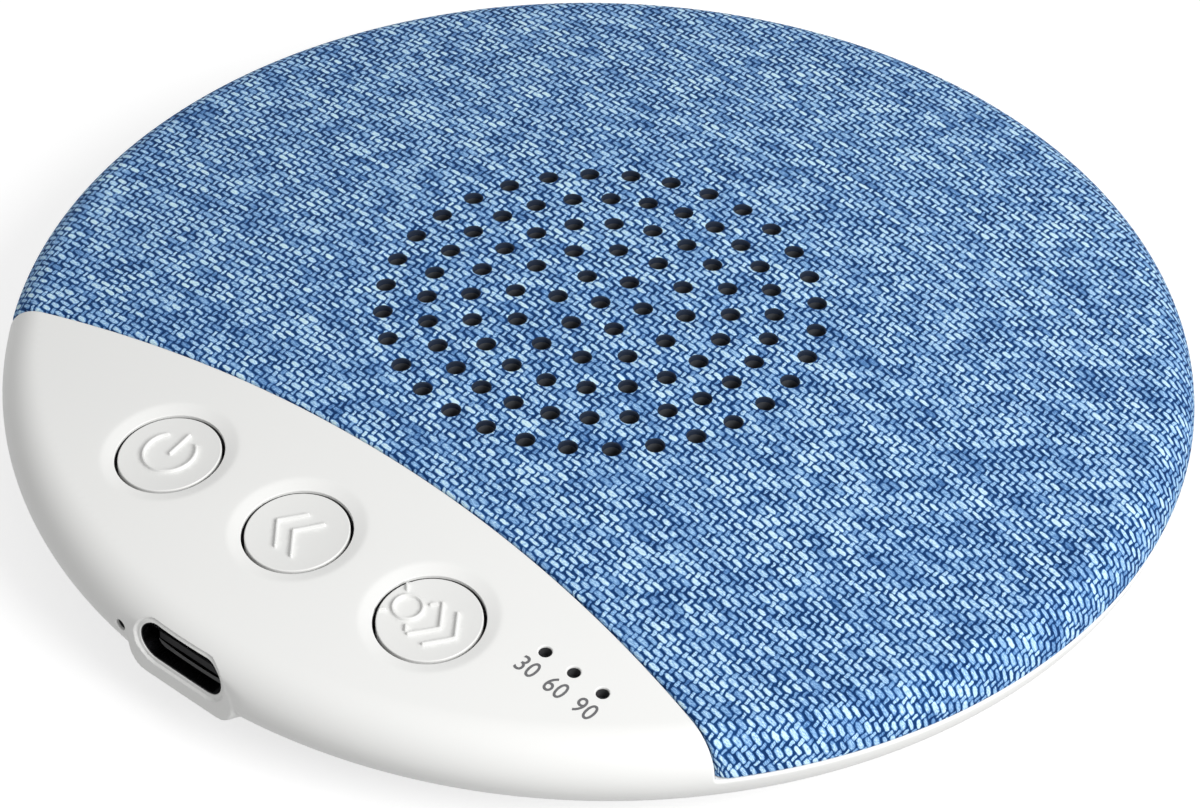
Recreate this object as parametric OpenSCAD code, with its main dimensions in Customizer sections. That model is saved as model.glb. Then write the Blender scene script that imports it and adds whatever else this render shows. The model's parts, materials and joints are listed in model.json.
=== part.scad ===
// White noise sound machine: a low round puck with a cloth-covered speaker grille on top, a smooth
// crescent of controls along the front and a charging port in the rim.
// +Z is up and the charging port faces -Y. The origin is the centre of the footprint on the
// resting plane. All sizes are in millimetres.

/* [Body] */
// Diameter at the widest line of the body
body_d = 102; // [100:0.5:112]
// Height from the resting plane to the crown of the dome
total_h = 16; // [15.4:0.1:20]
// Height of the widest line, where the cloth meets the shell
seam_h = 8.45; // [8.2:0.05:9.4]
// Radius of the shallow dome
dome_r = 297; // [260:1:360]
// How far the bowl curves inwards between the widest line and the flat underside
bowl_in = 16.3; // [14:0.1:18]
// Wall of the main housing
wall = 1.8; // [1.4:0.1:2.2]

/* [Deck and cloth] */
// Distance from the front of the rim to the middle of the deck's rear edge
deck_depth = 25.15; // [24.6:0.05:26]
// Radius of the arc of the deck's rear edge
deck_arc_r = 161; // [140:1:200]
// Thickness of the lip that hangs down along the deck's rear edge
lip_t = 1.4; // [1:0.1:1.8]
// How far the housing's rim behind the deck ends below the widest line
seam_drop = 0.4; // [0.3:0.05:0.5]
// Gap between the deck and the cloth-covered grille cap
seam_gap = 0.15; // [0.1:0.01:0.3]
// Thickness of the cloth
cloth_t = 0.6; // [0.4:0.05:0.8]
// Thickness of the rigid grille cap under the cloth
grille_t = 1.6; // [1.2:0.1:2]
// Width of the hem that is turned under the edge of the grille cap
hem_w = 1.7; // [1.2:0.1:2]

/* [Sound holes] */
// Distance between the rings of holes
hole_pitch = 3.7; // [3.4:0.05:3.9]
// Diameter of one hole
hole_d = 1.5; // [1.2:0.05:1.8]
// Number of holes on each ring, from the inside out
ring_holes = [6, 12, 20, 28, 32];

/* [Buttons] */
// Diameter of a button
button_d = 8.86; // [8.4:0.02:9.4]
// Gap around a button in its well
button_gap = 0.2; // [0.12:0.01:0.3]
// Distance from the front of the rim to the row of buttons
button_row = 14.1; // [13.6:0.05:14.8]
// Distance between neighbouring buttons
button_pitch = 14.7; // [14.2:0.05:16]
// How far a button travels when it is pressed
button_travel = 0.4; // [0.25:0.05:0.5]
// Thickness of a button's top
button_top_t = 1.4; // [1:0.1:1.8]
// Width of the retaining flange around the foot of a button
flange_w = 0.95; // [0.7:0.05:1.1]
// Thickness of that flange
flange_t = 0.6; // [0.5:0.05:0.7]
// Diameter of the shallow dish around a button
dish_d = 11.6; // [11.2:0.1:12.4]
// Depth of that dish at the well
dish_depth = 0.22; // [0.15:0.01:0.4]

/* [Timer lights] */
// Diameter of a timer light hole
lamp_d = 1.2; // [1:0.05:1.3]
// Place of the first timer light, to the right of the middle
lamp_x = 24.05; // [23.5:0.05:25]
// Distance between the timer lights
lamp_pitch = 3.07; // [2.9:0.01:3.2]
// Distance from the front of the rim to the row of timer lights
lamp_row = 17.9; // [17:0.05:18.5]

/* [Charging port] */
// Depth of the middle of the port below the deck over the inner end of the socket
port_cover = 4.15; // [3.9:0.01:4.4]
// Most that the middle of the port may lie above the widest line, so that the board clears the cloth
port_rise = 0.2; // [0:0.05:0.2]
// How far the flat face of the port lies inside the rim
port_flat = 0.5; // [0.3:0.05:0.7]
// Width of the raised pad around the port
pad_w = 12; // [11.4:0.1:13]
// Distance from the middle of the port down to the pad's lower edge
pad_drop = 3.9; // [3.6:0.05:4.2]
// Distance from the middle of the port up to the top of the pad
pad_rise = 0.5; // [0.3:0.05:0.8]
// Width of the slot in the housing
slot_w = 9.2; // [9.1:0.02:9.4]
// Height of the slot in the housing
slot_h = 3.54; // [3.4:0.02:3.8]
// Width of the chamfer around the slot
slot_chamfer = 0.45; // [0.3:0.05:0.6]
// Width of the socket's metal shell
shell_w = 8.94; // [8.8:0.02:9]
// Height of the socket's metal shell
shell_h = 3.26; // [3.1:0.02:3.3]
// Length of the socket
shell_l = 7.3; // [6.8:0.1:8]
// Distance from the flat face to the mouth of the metal shell
shell_inset = 0.35; // [0.2:0.05:0.6]
// Diameter of the charging light's pinhole
pin_d = 1; // [0.8:0.05:1.2]
// Distance from the middle of the port to the pinhole
pin_x = 6.8; // [6.6:0.05:7.6]
// Depth of the pinhole below the middle of the port
pin_drop = 0.42; // [0.2:0.02:0.5]

/* [Underside] */
// Height of the rubber feet below the underside
foot_h = 0.8; // [0.6:0.05:1]
// Diameter of a rubber foot
foot_d = 9; // [7:0.1:10]
// Depth of the pocket that a foot is glued into
foot_pocket = 0.6; // [0.4:0.05:0.8]
// Thickness of the base cover
cover_t = 1.6; // [1.5:0.05:2]
// Width of the flat ring of the housing around the base cover
cover_rim = 1.7; // [1.2:0.1:2.4]
// Width of the flange that the base cover is screwed against
flange_ring = 5.5; // [5:0.1:6.5]
// Distance from the edge of the base cover to its screws
screw_inset = 3; // [2.8:0.1:3.4]
// Distance from the edge of the base cover to the middle of a foot
foot_inset = 9; // [8.5:0.1:10.5]
// Thickness of the flange above the base cover
floor_t = 1.5; // [1.2:0.1:1.6]
// Diameter of a base screw's shank
screw_d = 1.96; // [1.8:0.02:2.2]
// Diameter of a base screw's head
screw_head_d = 3.8; // [3.4:0.1:4]

/* [Speaker] */
// Diameter of the speaker's frame
speaker_d = 40; // [39:0.2:41]
// Diameter of the magnet cup
cup_d = 19; // [18.4:0.1:19.6]
// Gap between the base cover and the magnet cup
cup_gap = 2.46; // [2.2:0.02:3]
// Height of the magnet cup
cup_h = 3.6; // [3.3:0.1:3.8]
// Travel of the cone each way
cone_travel = 0.3; // [0.2:0.05:0.35]
// Thickness of the foam gasket on the speaker's flange
gasket_t = 0.7; // [0.6:0.05:0.9]
// Thickness of the dust mesh behind the holes
mesh_t = 0.25; // [0.15:0.05:0.3]
// Wall of the collar around the speaker
collar_t = 1.4; // [1.2:0.1:1.6]

/* [Electronics] */
// Thickness of the circuit board
board_t = 1; // [0.8:0.1:1.2]
// Gap between the circuit board's curved edge and the housing wall
board_edge = 1.67; // [1.6:0.01:2.2]
// Distance from the front of the rim to the circuit board's rear edge
board_depth = 29.7; // [29.2:0.1:30.2]
// Width of the circuit board
board_w = 70; // [66:0.5:72]
// Side of a tact switch
switch_w = 5.2; // [4.6:0.1:5.4]
// Height of a tact switch's case
switch_h = 1.6; // [1.5:0.05:1.7]
// Height of a tact switch's plunger above its case
plunger_h = 0.7; // [0.6:0.05:0.8]
// Diameter of a tact switch's plunger
plunger_d = 2.6; // [2:0.1:3]
// Length of the battery
battery_l = 36; // [32:0.5:37]
// Width of the battery
battery_w = 17.4; // [15:0.1:17.6]
// Gap between the battery's rear corners and the housing wall
battery_edge = 1.54; // [1.4:0.02:2.4]
// Gap between the battery and the grille cap above it
battery_gap = 0.65; // [0.5:0.05:1.4]
// Thickness of the adhesive pad under the battery
pad_t = 0.8; // [0.5:0.05:1]
// Diameter of one lead over its insulation
lead_d = 1; // [0.8:0.05:1.1]

/* [Hidden] */
$fn = 96;

// Fits: a glued or screwed seat, and a small overlap that keeps cuts clean
fit = 0.02;
slack = 0.15;
over = 1;

// Body
body_r = body_d / 2;
under_z = foot_h;
bowl_h = seam_h - under_z;
flat_r = body_r - bowl_in;
dome_cz = total_h - dome_r;
seam_rise = seam_h - dome_cz;
// The shoulder arc ends upright at the widest line and runs smoothly into the dome
shoulder_r = (dome_r * dome_r - seam_rise * seam_rise - body_r * body_r) / (2 * (dome_r - body_r));
shoulder_cr = body_r - shoulder_r;
dome_a = atan(shoulder_cr / seam_rise);
dome_steps = 9;
shoulder_steps = 8;
bowl_steps = 14;

// Arc of points around c, from angle a0 to a1
function arc(c, r, a0, a1, n) =
    [for (i = [0:n]) c + r * [cos(a0 + (a1 - a0) * i / n), sin(a0 + (a1 - a0) * i / n)]];
// Height of the dome at a distance r from the middle
function dome_z(r) = dome_cz + sqrt(dome_r * dome_r - r * r);
// Half section of the top from the crown out to the widest line, moved inwards by d
function top_line(d) = concat(
    arc([0, dome_cz], dome_r - d, 90, 90 - dome_a, dome_steps),
    arc([shoulder_cr, seam_h], shoulder_r - d, 90 - dome_a, 0, shoulder_steps));
// Distance of the outer surface from the middle at a height z above the widest line
function side_r(z) = z > dome_z(shoulder_cr)
    ? sqrt(dome_r * dome_r - (z - dome_cz) * (z - dome_cz))
    : shoulder_cr + sqrt(shoulder_r * shoulder_r - (z - seam_h) * (z - seam_h));
// The same at a height z below the widest line
function bowl_r(z) = flat_r + bowl_in * sqrt(1 - pow((seam_h - z) / bowl_h, 2));
// Outward direction of the bowl's elliptic section at angle a
function bowl_out(a) = [cos(a) / bowl_in, -sin(a) / bowl_h] / norm([cos(a) / bowl_in, sin(a) / bowl_h]);
// Half section of the bowl from the widest line down to the flat underside, moved inwards by d
function bowl_line(d) = [for (i = [0:bowl_steps])
    let (a = 90 * i / bowl_steps)
    [flat_r + bowl_in * cos(a), seam_h - bowl_h * sin(a)] - d * bowl_out(a)];

// Deck
deck_y = body_r - deck_depth;
deck_cy = deck_y + deck_arc_r;
button_y = body_r - button_row;
lamp_y = body_r - lamp_row;
button_r = button_d / 2;
flange_r = button_r + flange_w;
well_r = button_r + button_gap;
boss_w = 1.1;

// Underside
cover_r = flat_r - cover_rim;
floor_z = under_z + cover_t + 0.1;
floor_top = floor_z + floor_t;
opening_r = cover_r - flange_ring;
screw_ring = cover_r - screw_inset;
foot_ring = cover_r - foot_inset;
screw_count = 4;
foot_count = 4;
head_h = 0.7;
head_sink = 0.8;
screw_boss_r = screw_d / 2 + 1.4;
boss_gap = 0.3;

// Charging port and its light
port_h = min(dome_z(body_r - shell_l) - port_cover, seam_h + port_rise);
pin_h = port_h - pin_drop;
face_y = -body_r + port_flat;
shell_front = -min(body_r - port_flat - shell_inset, side_r(port_h + shell_h / 2));
shell_back = shell_front + shell_l;
shell_skin = 0.3;

// Circuit board
board_top = port_h - shell_h / 2;
board_z = board_top - board_t;
board_r = bowl_r(board_z) - wall - board_edge;
board_rear = body_r - board_depth;
board_screw_x = board_w / 2 - 4;
board_screw_y = board_rear + 2.4;
board_screw_r = 0.8;
board_head_h = 0.8;
post_r = 2;
rest_x = button_pitch + 1.3;
rest_y = button_y + 4.6;
post_h = board_z - floor_top;
screw_boss_h = post_h - boss_gap;
screw_tip_z = floor_top + screw_boss_h - 0.4;

// Parts on the circuit board
chip_h = 1.4;
leg_w = 0.4;
leg_l = 1;
leg_h = 0.35;
controller_size = [8.6, 3.9];
amplifier_size = [4.9, 3.9];
memory_size = [5.2, 4.6];
chip_row = button_y - switch_w / 2 - memory_size[1] / 2 - leg_l - 1;
coil_size = [3.6, 3.6, 1.4];
supply_size = [1, 2, 0.9];
small_size = [0.8, 1.6, 0.7];
led_size = [1.6, 0.9, 0.6];
side_led_size = [1.6, 1, 1.5];
side_led_y = -body_r + 5.4;
connector_h = 1.5;
connector_x = board_w / 2 - 12;
connector_size = [5, 3.4];
lead_z = board_top + connector_h / 2;

// Buttons stand on the plungers of the switches
switch_z = board_top + switch_h;
button_foot = switch_z + plunger_h;
flange_top = button_foot + flange_t;
stop_z = flange_top + 0.1;
plunger_sink = 0.5;
stem_r = 1.4;
button_wall = 1.1;
key_w = 1.2;
key_h = 1;

// Grille cap and speaker
split_z = seam_h - seam_drop;
cap_z = split_z + seam_gap;
rim_z = cap_z + cloth_t;
speaker_r = speaker_d / 2;
collar_in = speaker_r + 0.2;
collar_out = collar_in + collar_t;
seat_z = dome_z(collar_out) - cloth_t - grille_t;
collar_h = 2.6;
tongue_w = 1.3;
tongue_h = 1.8;
tongue_out = body_r - cloth_t - hem_w - 0.2;
mesh_z = seat_z - mesh_t;
flange_z = mesh_z - gasket_t;
ledge_z = flange_z - 0.9;
cup_r = cup_d / 2;
cup_z = under_z + cover_t + cup_gap;
cup_top = cup_z + cup_h;
cup_wall = 2.15;
cup_floor = 1;
plate_t = 1.1;
plate_r = cup_r - 3.4;
frame_in = speaker_r - 2.5;
surround_t = 0.25;
roll_r = 0.85;
roll_c = frame_in - 2.05;
lip_w = 1.1;
cone_r = roll_c - roll_r - 0.1;
former_in = plate_r + 0.25;
former_t = 0.2;
coil_out = cup_r - cup_wall - 0.3;
coil_foot = cup_z + cup_floor + cone_travel + 0.6;
former_top = cup_top + 1.1;
dust_h = 1.4;

// Battery at the back, on its pad on the floor of the housing
battery_z = floor_top + pad_t;
battery_corner = bowl_r(battery_z) - wall - battery_edge;
battery_back = sqrt(battery_corner * battery_corner - battery_l * battery_l / 4);
battery_front = battery_back - battery_w;
battery_t = dome_z(battery_corner) - cloth_t - grille_t - battery_gap - battery_z;
circuit_w = 1.5;
circuit_h = 2.6;
circuit_l = battery_l - 4;

// Routes of the lead pairs, from the circuit board's connectors to the battery and the speaker
// They leave and arrive straight, over a length of stub
stub = 0.9;
circuit_end = [-11, battery_front - circuit_w, battery_z + circuit_h / 2];
battery_route = [
    [-connector_x, -board_rear, lead_z], [-connector_x, -board_rear + stub, lead_z],
    [-25.2, -board_rear + 5.8, 7.8], [-28, -8, 7.2], [-28.8, 0, 6.9], [-27.4, 8, 6.8],
    [-23, battery_front - 10.2, 6.8], [-16.6, battery_front - 6.6, 6.6], [-12, battery_front - 4.4, 6.3],
    circuit_end - [0, stub, 0], circuit_end
];
terminal_a = -32;
terminal_r = speaker_r - 1.6;
terminal_z = flange_z - 2.9;
terminal_size = [2.6, 5, 0.8];
terminal_way = [cos(terminal_a), sin(terminal_a), 0];
terminal_end = (terminal_r + terminal_size[0]) * terminal_way + [0, 0, terminal_z + terminal_size[2] / 2];
speaker_route = [
    [connector_x, -board_rear, lead_z], [connector_x, -board_rear + stub, lead_z], [22.2, -15.4, 8.9],
    terminal_end + stub * terminal_way, terminal_end
];

// Cloth, plastic and metal colours
shell_white = "#ECECE9";
cloth_blue = "#3E6FA8";
carrier_grey = "#2B2E33";
metal = "#B9BCC0";
board_green = "#1F6B45";

// ---------------------------------------------------------------- shared forms

// The solid under the dome, moved inwards by d, reaching down to z0
module top_solid(d, z0) {
    rotate_extrude()
        polygon(concat(top_line(d), z0 < seam_h ? [[body_r - d, z0], [0, z0]] : [[0, z0]]));
}

// The solid bowl below the widest line, moved inwards by d, with a straight rise of h above it
module bowl_solid(d, h = 0) {
    rotate_extrude()
        polygon(concat([[0, seam_h + h]], h > 0 ? [[body_r - d, seam_h + h]] : [], bowl_line(d),
            [[0, under_z + d]]));
}

// Upright prism over the crescent of the deck, grown by g
module deck_prism(g) {
    translate([0, -deck_cy, -over])
        linear_extrude(total_h + 3 * over)
        circle(r = deck_arc_r + g, $fn = 360);
}

// Upright tube
module ring(r_in, r_out, z, h) {
    translate([0, 0, z])
        difference() {
            cylinder(r = r_out, h = h);
            translate([0, 0, -over]) cylinder(r = r_in, h = h + 2 * over);
        }
}

// Upright round bar
module peg(x, y, z, r, h) {
    translate([x, y, z]) cylinder(r = r, h = h, $fn = 48);
}

// Block centred on x and y, standing on z
module block(x, y, z, size) {
    translate([x - size[0] / 2, y - size[1] / 2, z]) cube(size);
}

// Block with rounded upright edges, centred on x and y, standing on z
module soft_block(x, y, z, size, r) {
    block(x, y, z, [size[0] - 2 * r, size[1], size[2]]);
    block(x, y, z, [size[0], size[1] - 2 * r, size[2]]);
    for (sx = [-1, 1], sy = [-1, 1])
        peg(x + sx * (size[0] / 2 - r), y + sy * (size[1] / 2 - r), z, r, size[2]);
}

// Bar of a long round-ended section, w wide and h high, from y0 backwards to y1
module slot_bar(w, h, y0, y1) {
    translate([0, y1, port_h])
        rotate([90, 0, 0])
        linear_extrude(y1 - y0) {
            square([w - h, h], center = true);
            for (s = [-1, 1]) translate([s * (w - h) / 2, 0]) circle(d = h, $fn = 48);
        }
}

// Flared mouth of the port slot, growing by c over a depth c behind the flat face
module slot_mouth(w, h, c, y0) {
    translate([0, y0 + c, port_h]) {
        for (s = [-1, 1])
            translate([s * (w - h) / 2, 0, 0])
            rotate([90, 0, 0])
            cylinder(r1 = h / 2, r2 = h / 2 + 2 * c, h = 2 * c, $fn = 48);
        translate([-(w - h) / 2, 0, 0])
            rotate([90, 0, 90])
            linear_extrude(w - h)
            polygon([[0, -h / 2], [0, h / 2], [-2 * c, h / 2 + 2 * c], [-2 * c, -h / 2 - 2 * c]]);
    }
}

// Places children on the deck at x, y, with their Z square to the dome
module on_dome(x, y) {
    r = norm([x, y]);
    translate([x, y, dome_z(r)])
        rotate([0, 0, atan2(y, x)])
        rotate([0, asin(r / dome_r), 0])
        children();
}

// Runs children at each of n places around a circle, the first at angle a0
module around(n, r, a0 = 0) {
    for (i = [0:n - 1]) rotate([0, 0, a0 + 360 * i / n]) translate([r, 0, 0]) children();
}

// The body of the cloth-covered cap: what lies over the speaker side, moved inwards by d
module cap_form(d) {
    difference() {
        intersection() {
            top_solid(d, 0);
            translate([0, 0, cap_z + d]) cylinder(r = body_r + over, h = total_h);
        }
        deck_prism(seam_gap + d);
    }
}

// One upright bar for every sound hole, from z0 up
module sound_holes(z0) {
    peg(0, 0, z0, hole_d / 2, total_h);
    for (k = [0:len(ring_holes) - 1])
        rotate([0, 0, 90])
        around(ring_holes[k], hole_pitch * (k + 1))
        peg(0, 0, z0, hole_d / 2, total_h);
}

// ---------------------------------------------------------------- casing

// Bowl wall with the flange that carries the base cover
module housing_bowl() {
    difference() {
        bowl_solid(0);
        bowl_solid(wall, over);
        // The rim behind the deck ends at the cloth
        difference() {
            translate([0, 0, split_z]) cylinder(r = body_r + over, h = total_h);
            deck_prism(0);
        }
    }
    difference() {
        intersection() {
            bowl_solid(wall / 2);
            translate([0, 0, under_z]) cylinder(r = body_r, h = floor_top - under_z);
        }
        translate([0, 0, -over]) cylinder(r = opening_r, h = total_h);
    }
}

// Crescent deck with the rim below it and the lip along its rear edge
module housing_deck() {
    intersection() {
        difference() {
            top_solid(0, seam_h);
            top_solid(wall, 0);
        }
        deck_prism(0);
    }
    intersection() {
        difference() {
            deck_prism(0);
            deck_prism(-lip_t);
        }
        top_solid(wall / 2, 0);
        translate([0, 0, rim_z]) cylinder(r = body_r, h = total_h);
    }
}

// Flat pad around the charging port, proud of the curved bowl
module port_pad() {
    pad_depth = 3;
    block(0, face_y + pad_depth / 2, port_h - pad_drop, [pad_w, pad_depth, pad_drop + pad_rise]);
}

// Posts and bosses that stand on the floor of the housing
module housing_posts() {
    foot = floor_top - floor_t / 2;
    around(screw_count, screw_ring, 45)
        peg(0, 0, foot, screw_boss_r, floor_top + screw_boss_h - foot);
    intersection() {
        bowl_solid(wall / 2);
        for (s = [-1, 1]) {
            peg(s * board_screw_x, -board_screw_y, foot, post_r, board_z - foot);
            peg(s * rest_x, -rest_y, foot, post_r, board_z - foot);
        }
    }
}

// Flat-ended bosses under the deck, around the wells
module button_bosses() {
    intersection() {
        top_solid(wall / 2, 0);
        for (i = [-1:1])
            peg(i * button_pitch, -button_y, stop_z, flange_r + slack + boss_w, total_h);
    }
}

// Flat cone that opens the dish around a button; it starts inside the well
module dish_cut() {
    spread = (dish_d / 2 - well_r) / dish_depth;
    foot = dish_depth + 0.1;
    translate([0, 0, -foot])
        cylinder(r1 = dish_d / 2 - spread * foot, r2 = dish_d / 2 + spread * foot, h = 2 * foot);
}

// One moulding: bowl, rim, crescent deck, button bosses and port pad
module main_housing() {
    color(shell_white)
    difference() {
        union() {
            housing_bowl();
            housing_deck();
            port_pad();
            housing_posts();
            button_bosses();
        }
        // Seat of the base cover, its opening and the screw holes
        translate([0, 0, -over]) cylinder(r = cover_r + slack, h = floor_z + over);
        translate([0, 0, -over]) cylinder(r = opening_r, h = floor_top + 2 * over);
        around(screw_count, screw_ring, 45)
            peg(0, 0, -over, screw_d / 2 + fit, screw_tip_z + fit + over);
        for (s = [-1, 1])
            peg(s * board_screw_x, -board_screw_y, floor_top + 0.2 * post_h, board_screw_r + fit, post_h);
        // Wells and dishes of the buttons
        for (i = [-1:1]) {
            peg(i * button_pitch, -button_y, floor_top + over, well_r, total_h);
            peg(i * button_pitch, -button_y, floor_top + over, flange_r + slack, stop_z - floor_top - over);
            block(i * button_pitch, -button_y + button_r, stop_z - over,
                [key_w + 2 * slack, 2 * flange_w, key_h + over + slack]);
            on_dome(i * button_pitch, -button_y) dish_cut();
        }
        // Timer lights
        for (i = [0:2])
            peg(lamp_x + i * lamp_pitch, -lamp_y, board_top, lamp_d / 2, total_h);
        // Flat face, slot and pinhole of the port
        block(0, face_y - pad_w / 2, 0, [2 * pad_w, pad_w, total_h]);
        slot_bar(slot_w, slot_h, -body_r - over, shell_back + 0.3);
        slot_mouth(slot_w, slot_h, slot_chamfer, face_y);
        translate([-pin_x, -body_r + 4, pin_h]) rotate([90, 0, 0]) cylinder(d = pin_d, h = 5, $fn = 48);
    }
}

// Round base cover with its locating rim, ribs, foot pockets and screw holes
module base_cover() {
    rim_r = opening_r - 0.3;
    hub_r = 4.8;
    rib_z = under_z + cover_t - 0.2;
    rib_h = 0.9;
    color(shell_white)
    difference() {
        union() {
            translate([0, 0, under_z]) cylinder(r = cover_r, h = cover_t);
            ring(rim_r - 1.2, rim_r, rib_z, floor_t);
            for (i = [0:5])
                rotate([0, 0, 30 + 60 * i])
                translate([hub_r - 0.6, -0.5, rib_z])
                cube([rim_r - hub_r, 1, rib_h]);
            ring(hub_r - 1.2, hub_r, rib_z, rib_h + 0.2);
        }
        around(foot_count, foot_ring)
            peg(0, 0, 0, foot_d / 2 + fit, under_z + foot_pocket);
        around(screw_count, screw_ring, 45) {
            peg(0, 0, 0, screw_d / 2 + slack, total_h);
            peg(0, 0, 0, screw_head_d / 2 + slack, under_z + head_sink);
        }
    }
}

// Rigid carrier of the cloth: dome, rim tongue, speaker seat and collar, pierced by the sound holes
module grille_cap() {
    d = cloth_t + fit;
    inner = cloth_t + grille_t;
    color(carrier_grey)
    difference() {
        union() {
            difference() {
                cap_form(d);
                difference() {
                    top_solid(inner, 0);
                    deck_prism(seam_gap + inner);
                }
            }
            intersection() {
                cap_form(d);
                union() {
                    translate([0, 0, seat_z]) cylinder(r = collar_out, h = total_h);
                    ring(tongue_out - tongue_w, body_r, rim_z, total_h);
                }
            }
            difference() {
                ring(collar_in, collar_out, seat_z - collar_h, collar_h + 0.1);
                deck_prism(seam_gap + d);
            }
            difference() {
                ring(tongue_out - tongue_w, tongue_out, rim_z - tongue_h, tongue_h + 0.2);
                deck_prism(seam_gap + inner);
            }
        }
        // Room for the speaker below its seat
        cylinder(r = collar_in, h = seat_z);
        sound_holes(seat_z - over);
    }
}

// Cloth stretched over the cap and turned under its edge
module fabric_skin() {
    color(cloth_blue)
    difference() {
        cap_form(0);
        cap_form(cloth_t);
        translate([0, 0, cap_z - over])
            linear_extrude(cloth_t + 2 * over)
            difference() {
                circle(r = body_r - cloth_t - hem_w);
                translate([0, -deck_cy]) circle(r = deck_arc_r + seam_gap + cloth_t + hem_w, $fn = 360);
            }
        sound_holes(seat_z);
    }
}

// Fine mesh glued behind the sound holes
module dust_mesh() {
    color("#17191C")
        translate([0, 0, mesh_z]) cylinder(r = speaker_r - 0.1, h = mesh_t);
}

// Four glued rubber feet
module rubber_feet() {
    color("#3A3B3D")
        around(foot_count, foot_ring)
        peg(0, 0, 0, foot_d / 2, under_z + foot_pocket);
}

// Pan head screw pointing up, with a cross recess in its head
module pan_screw(head_r, head_t, shank_r, length) {
    difference() {
        union() {
            cylinder(r = head_r, h = head_t, $fn = 48);
            cylinder(r = shank_r, h = head_t + length, $fn = 48);
        }
        for (a = [0, 90])
            rotate([0, 0, a])
            translate([-head_r * 0.6, -0.2, -over])
            cube([head_r * 1.2, 0.4, over + head_t / 2]);
    }
}

// Four screws that hold the base cover
module base_screws() {
    head_z = under_z + head_sink - head_h;
    color(metal)
        around(screw_count, screw_ring, 45)
        translate([0, 0, head_z])
        pan_screw(screw_head_d / 2, head_h, screw_d / 2, screw_tip_z - head_z - head_h);
}

// ---------------------------------------------------------------- buttons and switches

// Button cap i, flush with the deck: hollow, with a stem, a retaining flange and a key
module button_cap(i) {
    x = i * button_pitch;
    top_z = dome_z(norm([x, button_y]));
    color(shell_white)
    difference() {
        union() {
            intersection() {
                peg(x, -button_y, button_foot, button_r, total_h);
                top_solid(0, 0);
            }
            peg(x, -button_y, button_foot, flange_r, flange_t);
            block(x, -button_y + button_r - 0.2, button_foot, [key_w, 2 * flange_w - 0.4, flange_t + key_h]);
        }
        difference() {
            peg(x, -button_y, button_foot - over, button_r - button_wall, top_z - button_top_t - button_foot + over);
            peg(x, -button_y, button_foot - 2 * over, stem_r, total_h);
        }
    }
}

// Plunger of the switch under button i
module switch_plunger(i) {
    color("#2A2A2C")
        peg(i * button_pitch, -button_y, switch_z - plunger_sink, plunger_d / 2, plunger_sink + plunger_h);
}

// Case of the switch under button i, with its solder feet
module switch_case(i) {
    x = i * button_pitch;
    color(metal)
    difference() {
        union() {
            block(x, -button_y, board_top, [switch_w, switch_w, switch_h]);
            for (s = [-1, 1])
                block(x, -button_y + s * switch_w / 3, board_top, [switch_w + 1.6, 0.7, 0.2]);
        }
        peg(x, -button_y, switch_z - plunger_sink - button_travel - 0.1, plunger_d / 2 + 0.1, switch_h);
    }
}

// ---------------------------------------------------------------- circuit board

// Circuit board under the deck
module main_board() {
    color(board_green)
    translate([0, 0, board_z])
    difference() {
        linear_extrude(board_t)
            intersection() {
                circle(r = board_r);
                translate([-board_w / 2, -body_r]) square([board_w, body_r - board_rear]);
            }
        for (s = [-1, 1])
            peg(s * board_screw_x, -board_screw_y, -over, board_screw_r + 0.1, board_t + 2 * over);
    }
}

// Two screws that hold the board's rear corners
module board_screws() {
    color(metal)
        for (s = [-1, 1])
        translate([s * board_screw_x, -board_screw_y, board_top + board_head_h])
        mirror([0, 0, 1])
        pan_screw(1.5, board_head_h, board_screw_r, board_t + 0.7 * post_h);
}

// Chip of the given size with its rows of legs, on the board at x in the chip row
module chip(x, size, legs) {
    w = size[0];
    l = size[1];
    block(x, -chip_row, board_top + 0.1, [w, l, chip_h - 0.1]);
    for (s = [-1, 1], k = [0:legs - 1])
        block(x + (k - (legs - 1) / 2) * w / legs, -chip_row + s * (l / 2 + 0.3 * leg_l), board_top,
            [leg_w, leg_l, leg_h]);
}

// Chip that plays the sounds and reads the buttons
module controller_chip() {
    color("#1B1B1D") chip(-9, controller_size, 8);
}

// Chip that drives the speaker
module amplifier_chip() {
    color("#1B1B1D") chip(10.5, amplifier_size, 4);
}

// Chip that stores the sounds
module memory_chip() {
    color("#1B1B1D") chip(1.5, memory_size, 4);
}

// Coil and capacitors of the supply
module board_parts() {
    color("#6B6459") {
        soft_block(lamp_x - 4.6, -chip_row, board_top, coil_size, 0.6);
        for (i = [0:3]) block(-17 - 1.8 * i, -chip_row, board_top, supply_size);
        for (i = [-1:1]) block(4 * i, -board_rear - small_size[1], board_top, small_size);
    }
}

// Three small lamps under the timer light guide
module timer_leds() {
    color("#F3E9B0")
        for (i = [0:2])
        block(lamp_x + i * lamp_pitch, -lamp_y, board_top, led_size);
}

// Light guide: three pins on one bar, standing over the lamps and reaching into the deck
module timer_light_guide() {
    bar_z = board_top + 1.9;
    color("#D8DEE2") {
        for (i = [0:2]) {
            x = lamp_x + i * lamp_pitch;
            pin_top = dome_z(norm([x, lamp_y])) - 0.9;
            peg(x, -lamp_y, bar_z, lamp_d / 2 - 0.1, pin_top - bar_z);
            peg(x, -lamp_y, board_top + led_size[2] + 0.1, led_size[0] / 2, bar_z - board_top);
        }
        block(lamp_x + lamp_pitch, -lamp_y, bar_z, [2 * lamp_pitch + 2, 1.4, 0.6]);
    }
}

// Side-facing lamp that shows charging
module charge_led() {
    color("#F3E9B0") block(-pin_x, side_led_y, board_top, side_led_size);
}

// Round pin that carries its light to the rim
module charge_light_guide() {
    color("#D8DEE2")
        translate([-pin_x, -body_r + 4.2, pin_h])
        rotate([90, 0, 0])
        cylinder(r = pin_d / 2 - 0.08, h = 3, $fn = 48);
}

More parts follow.
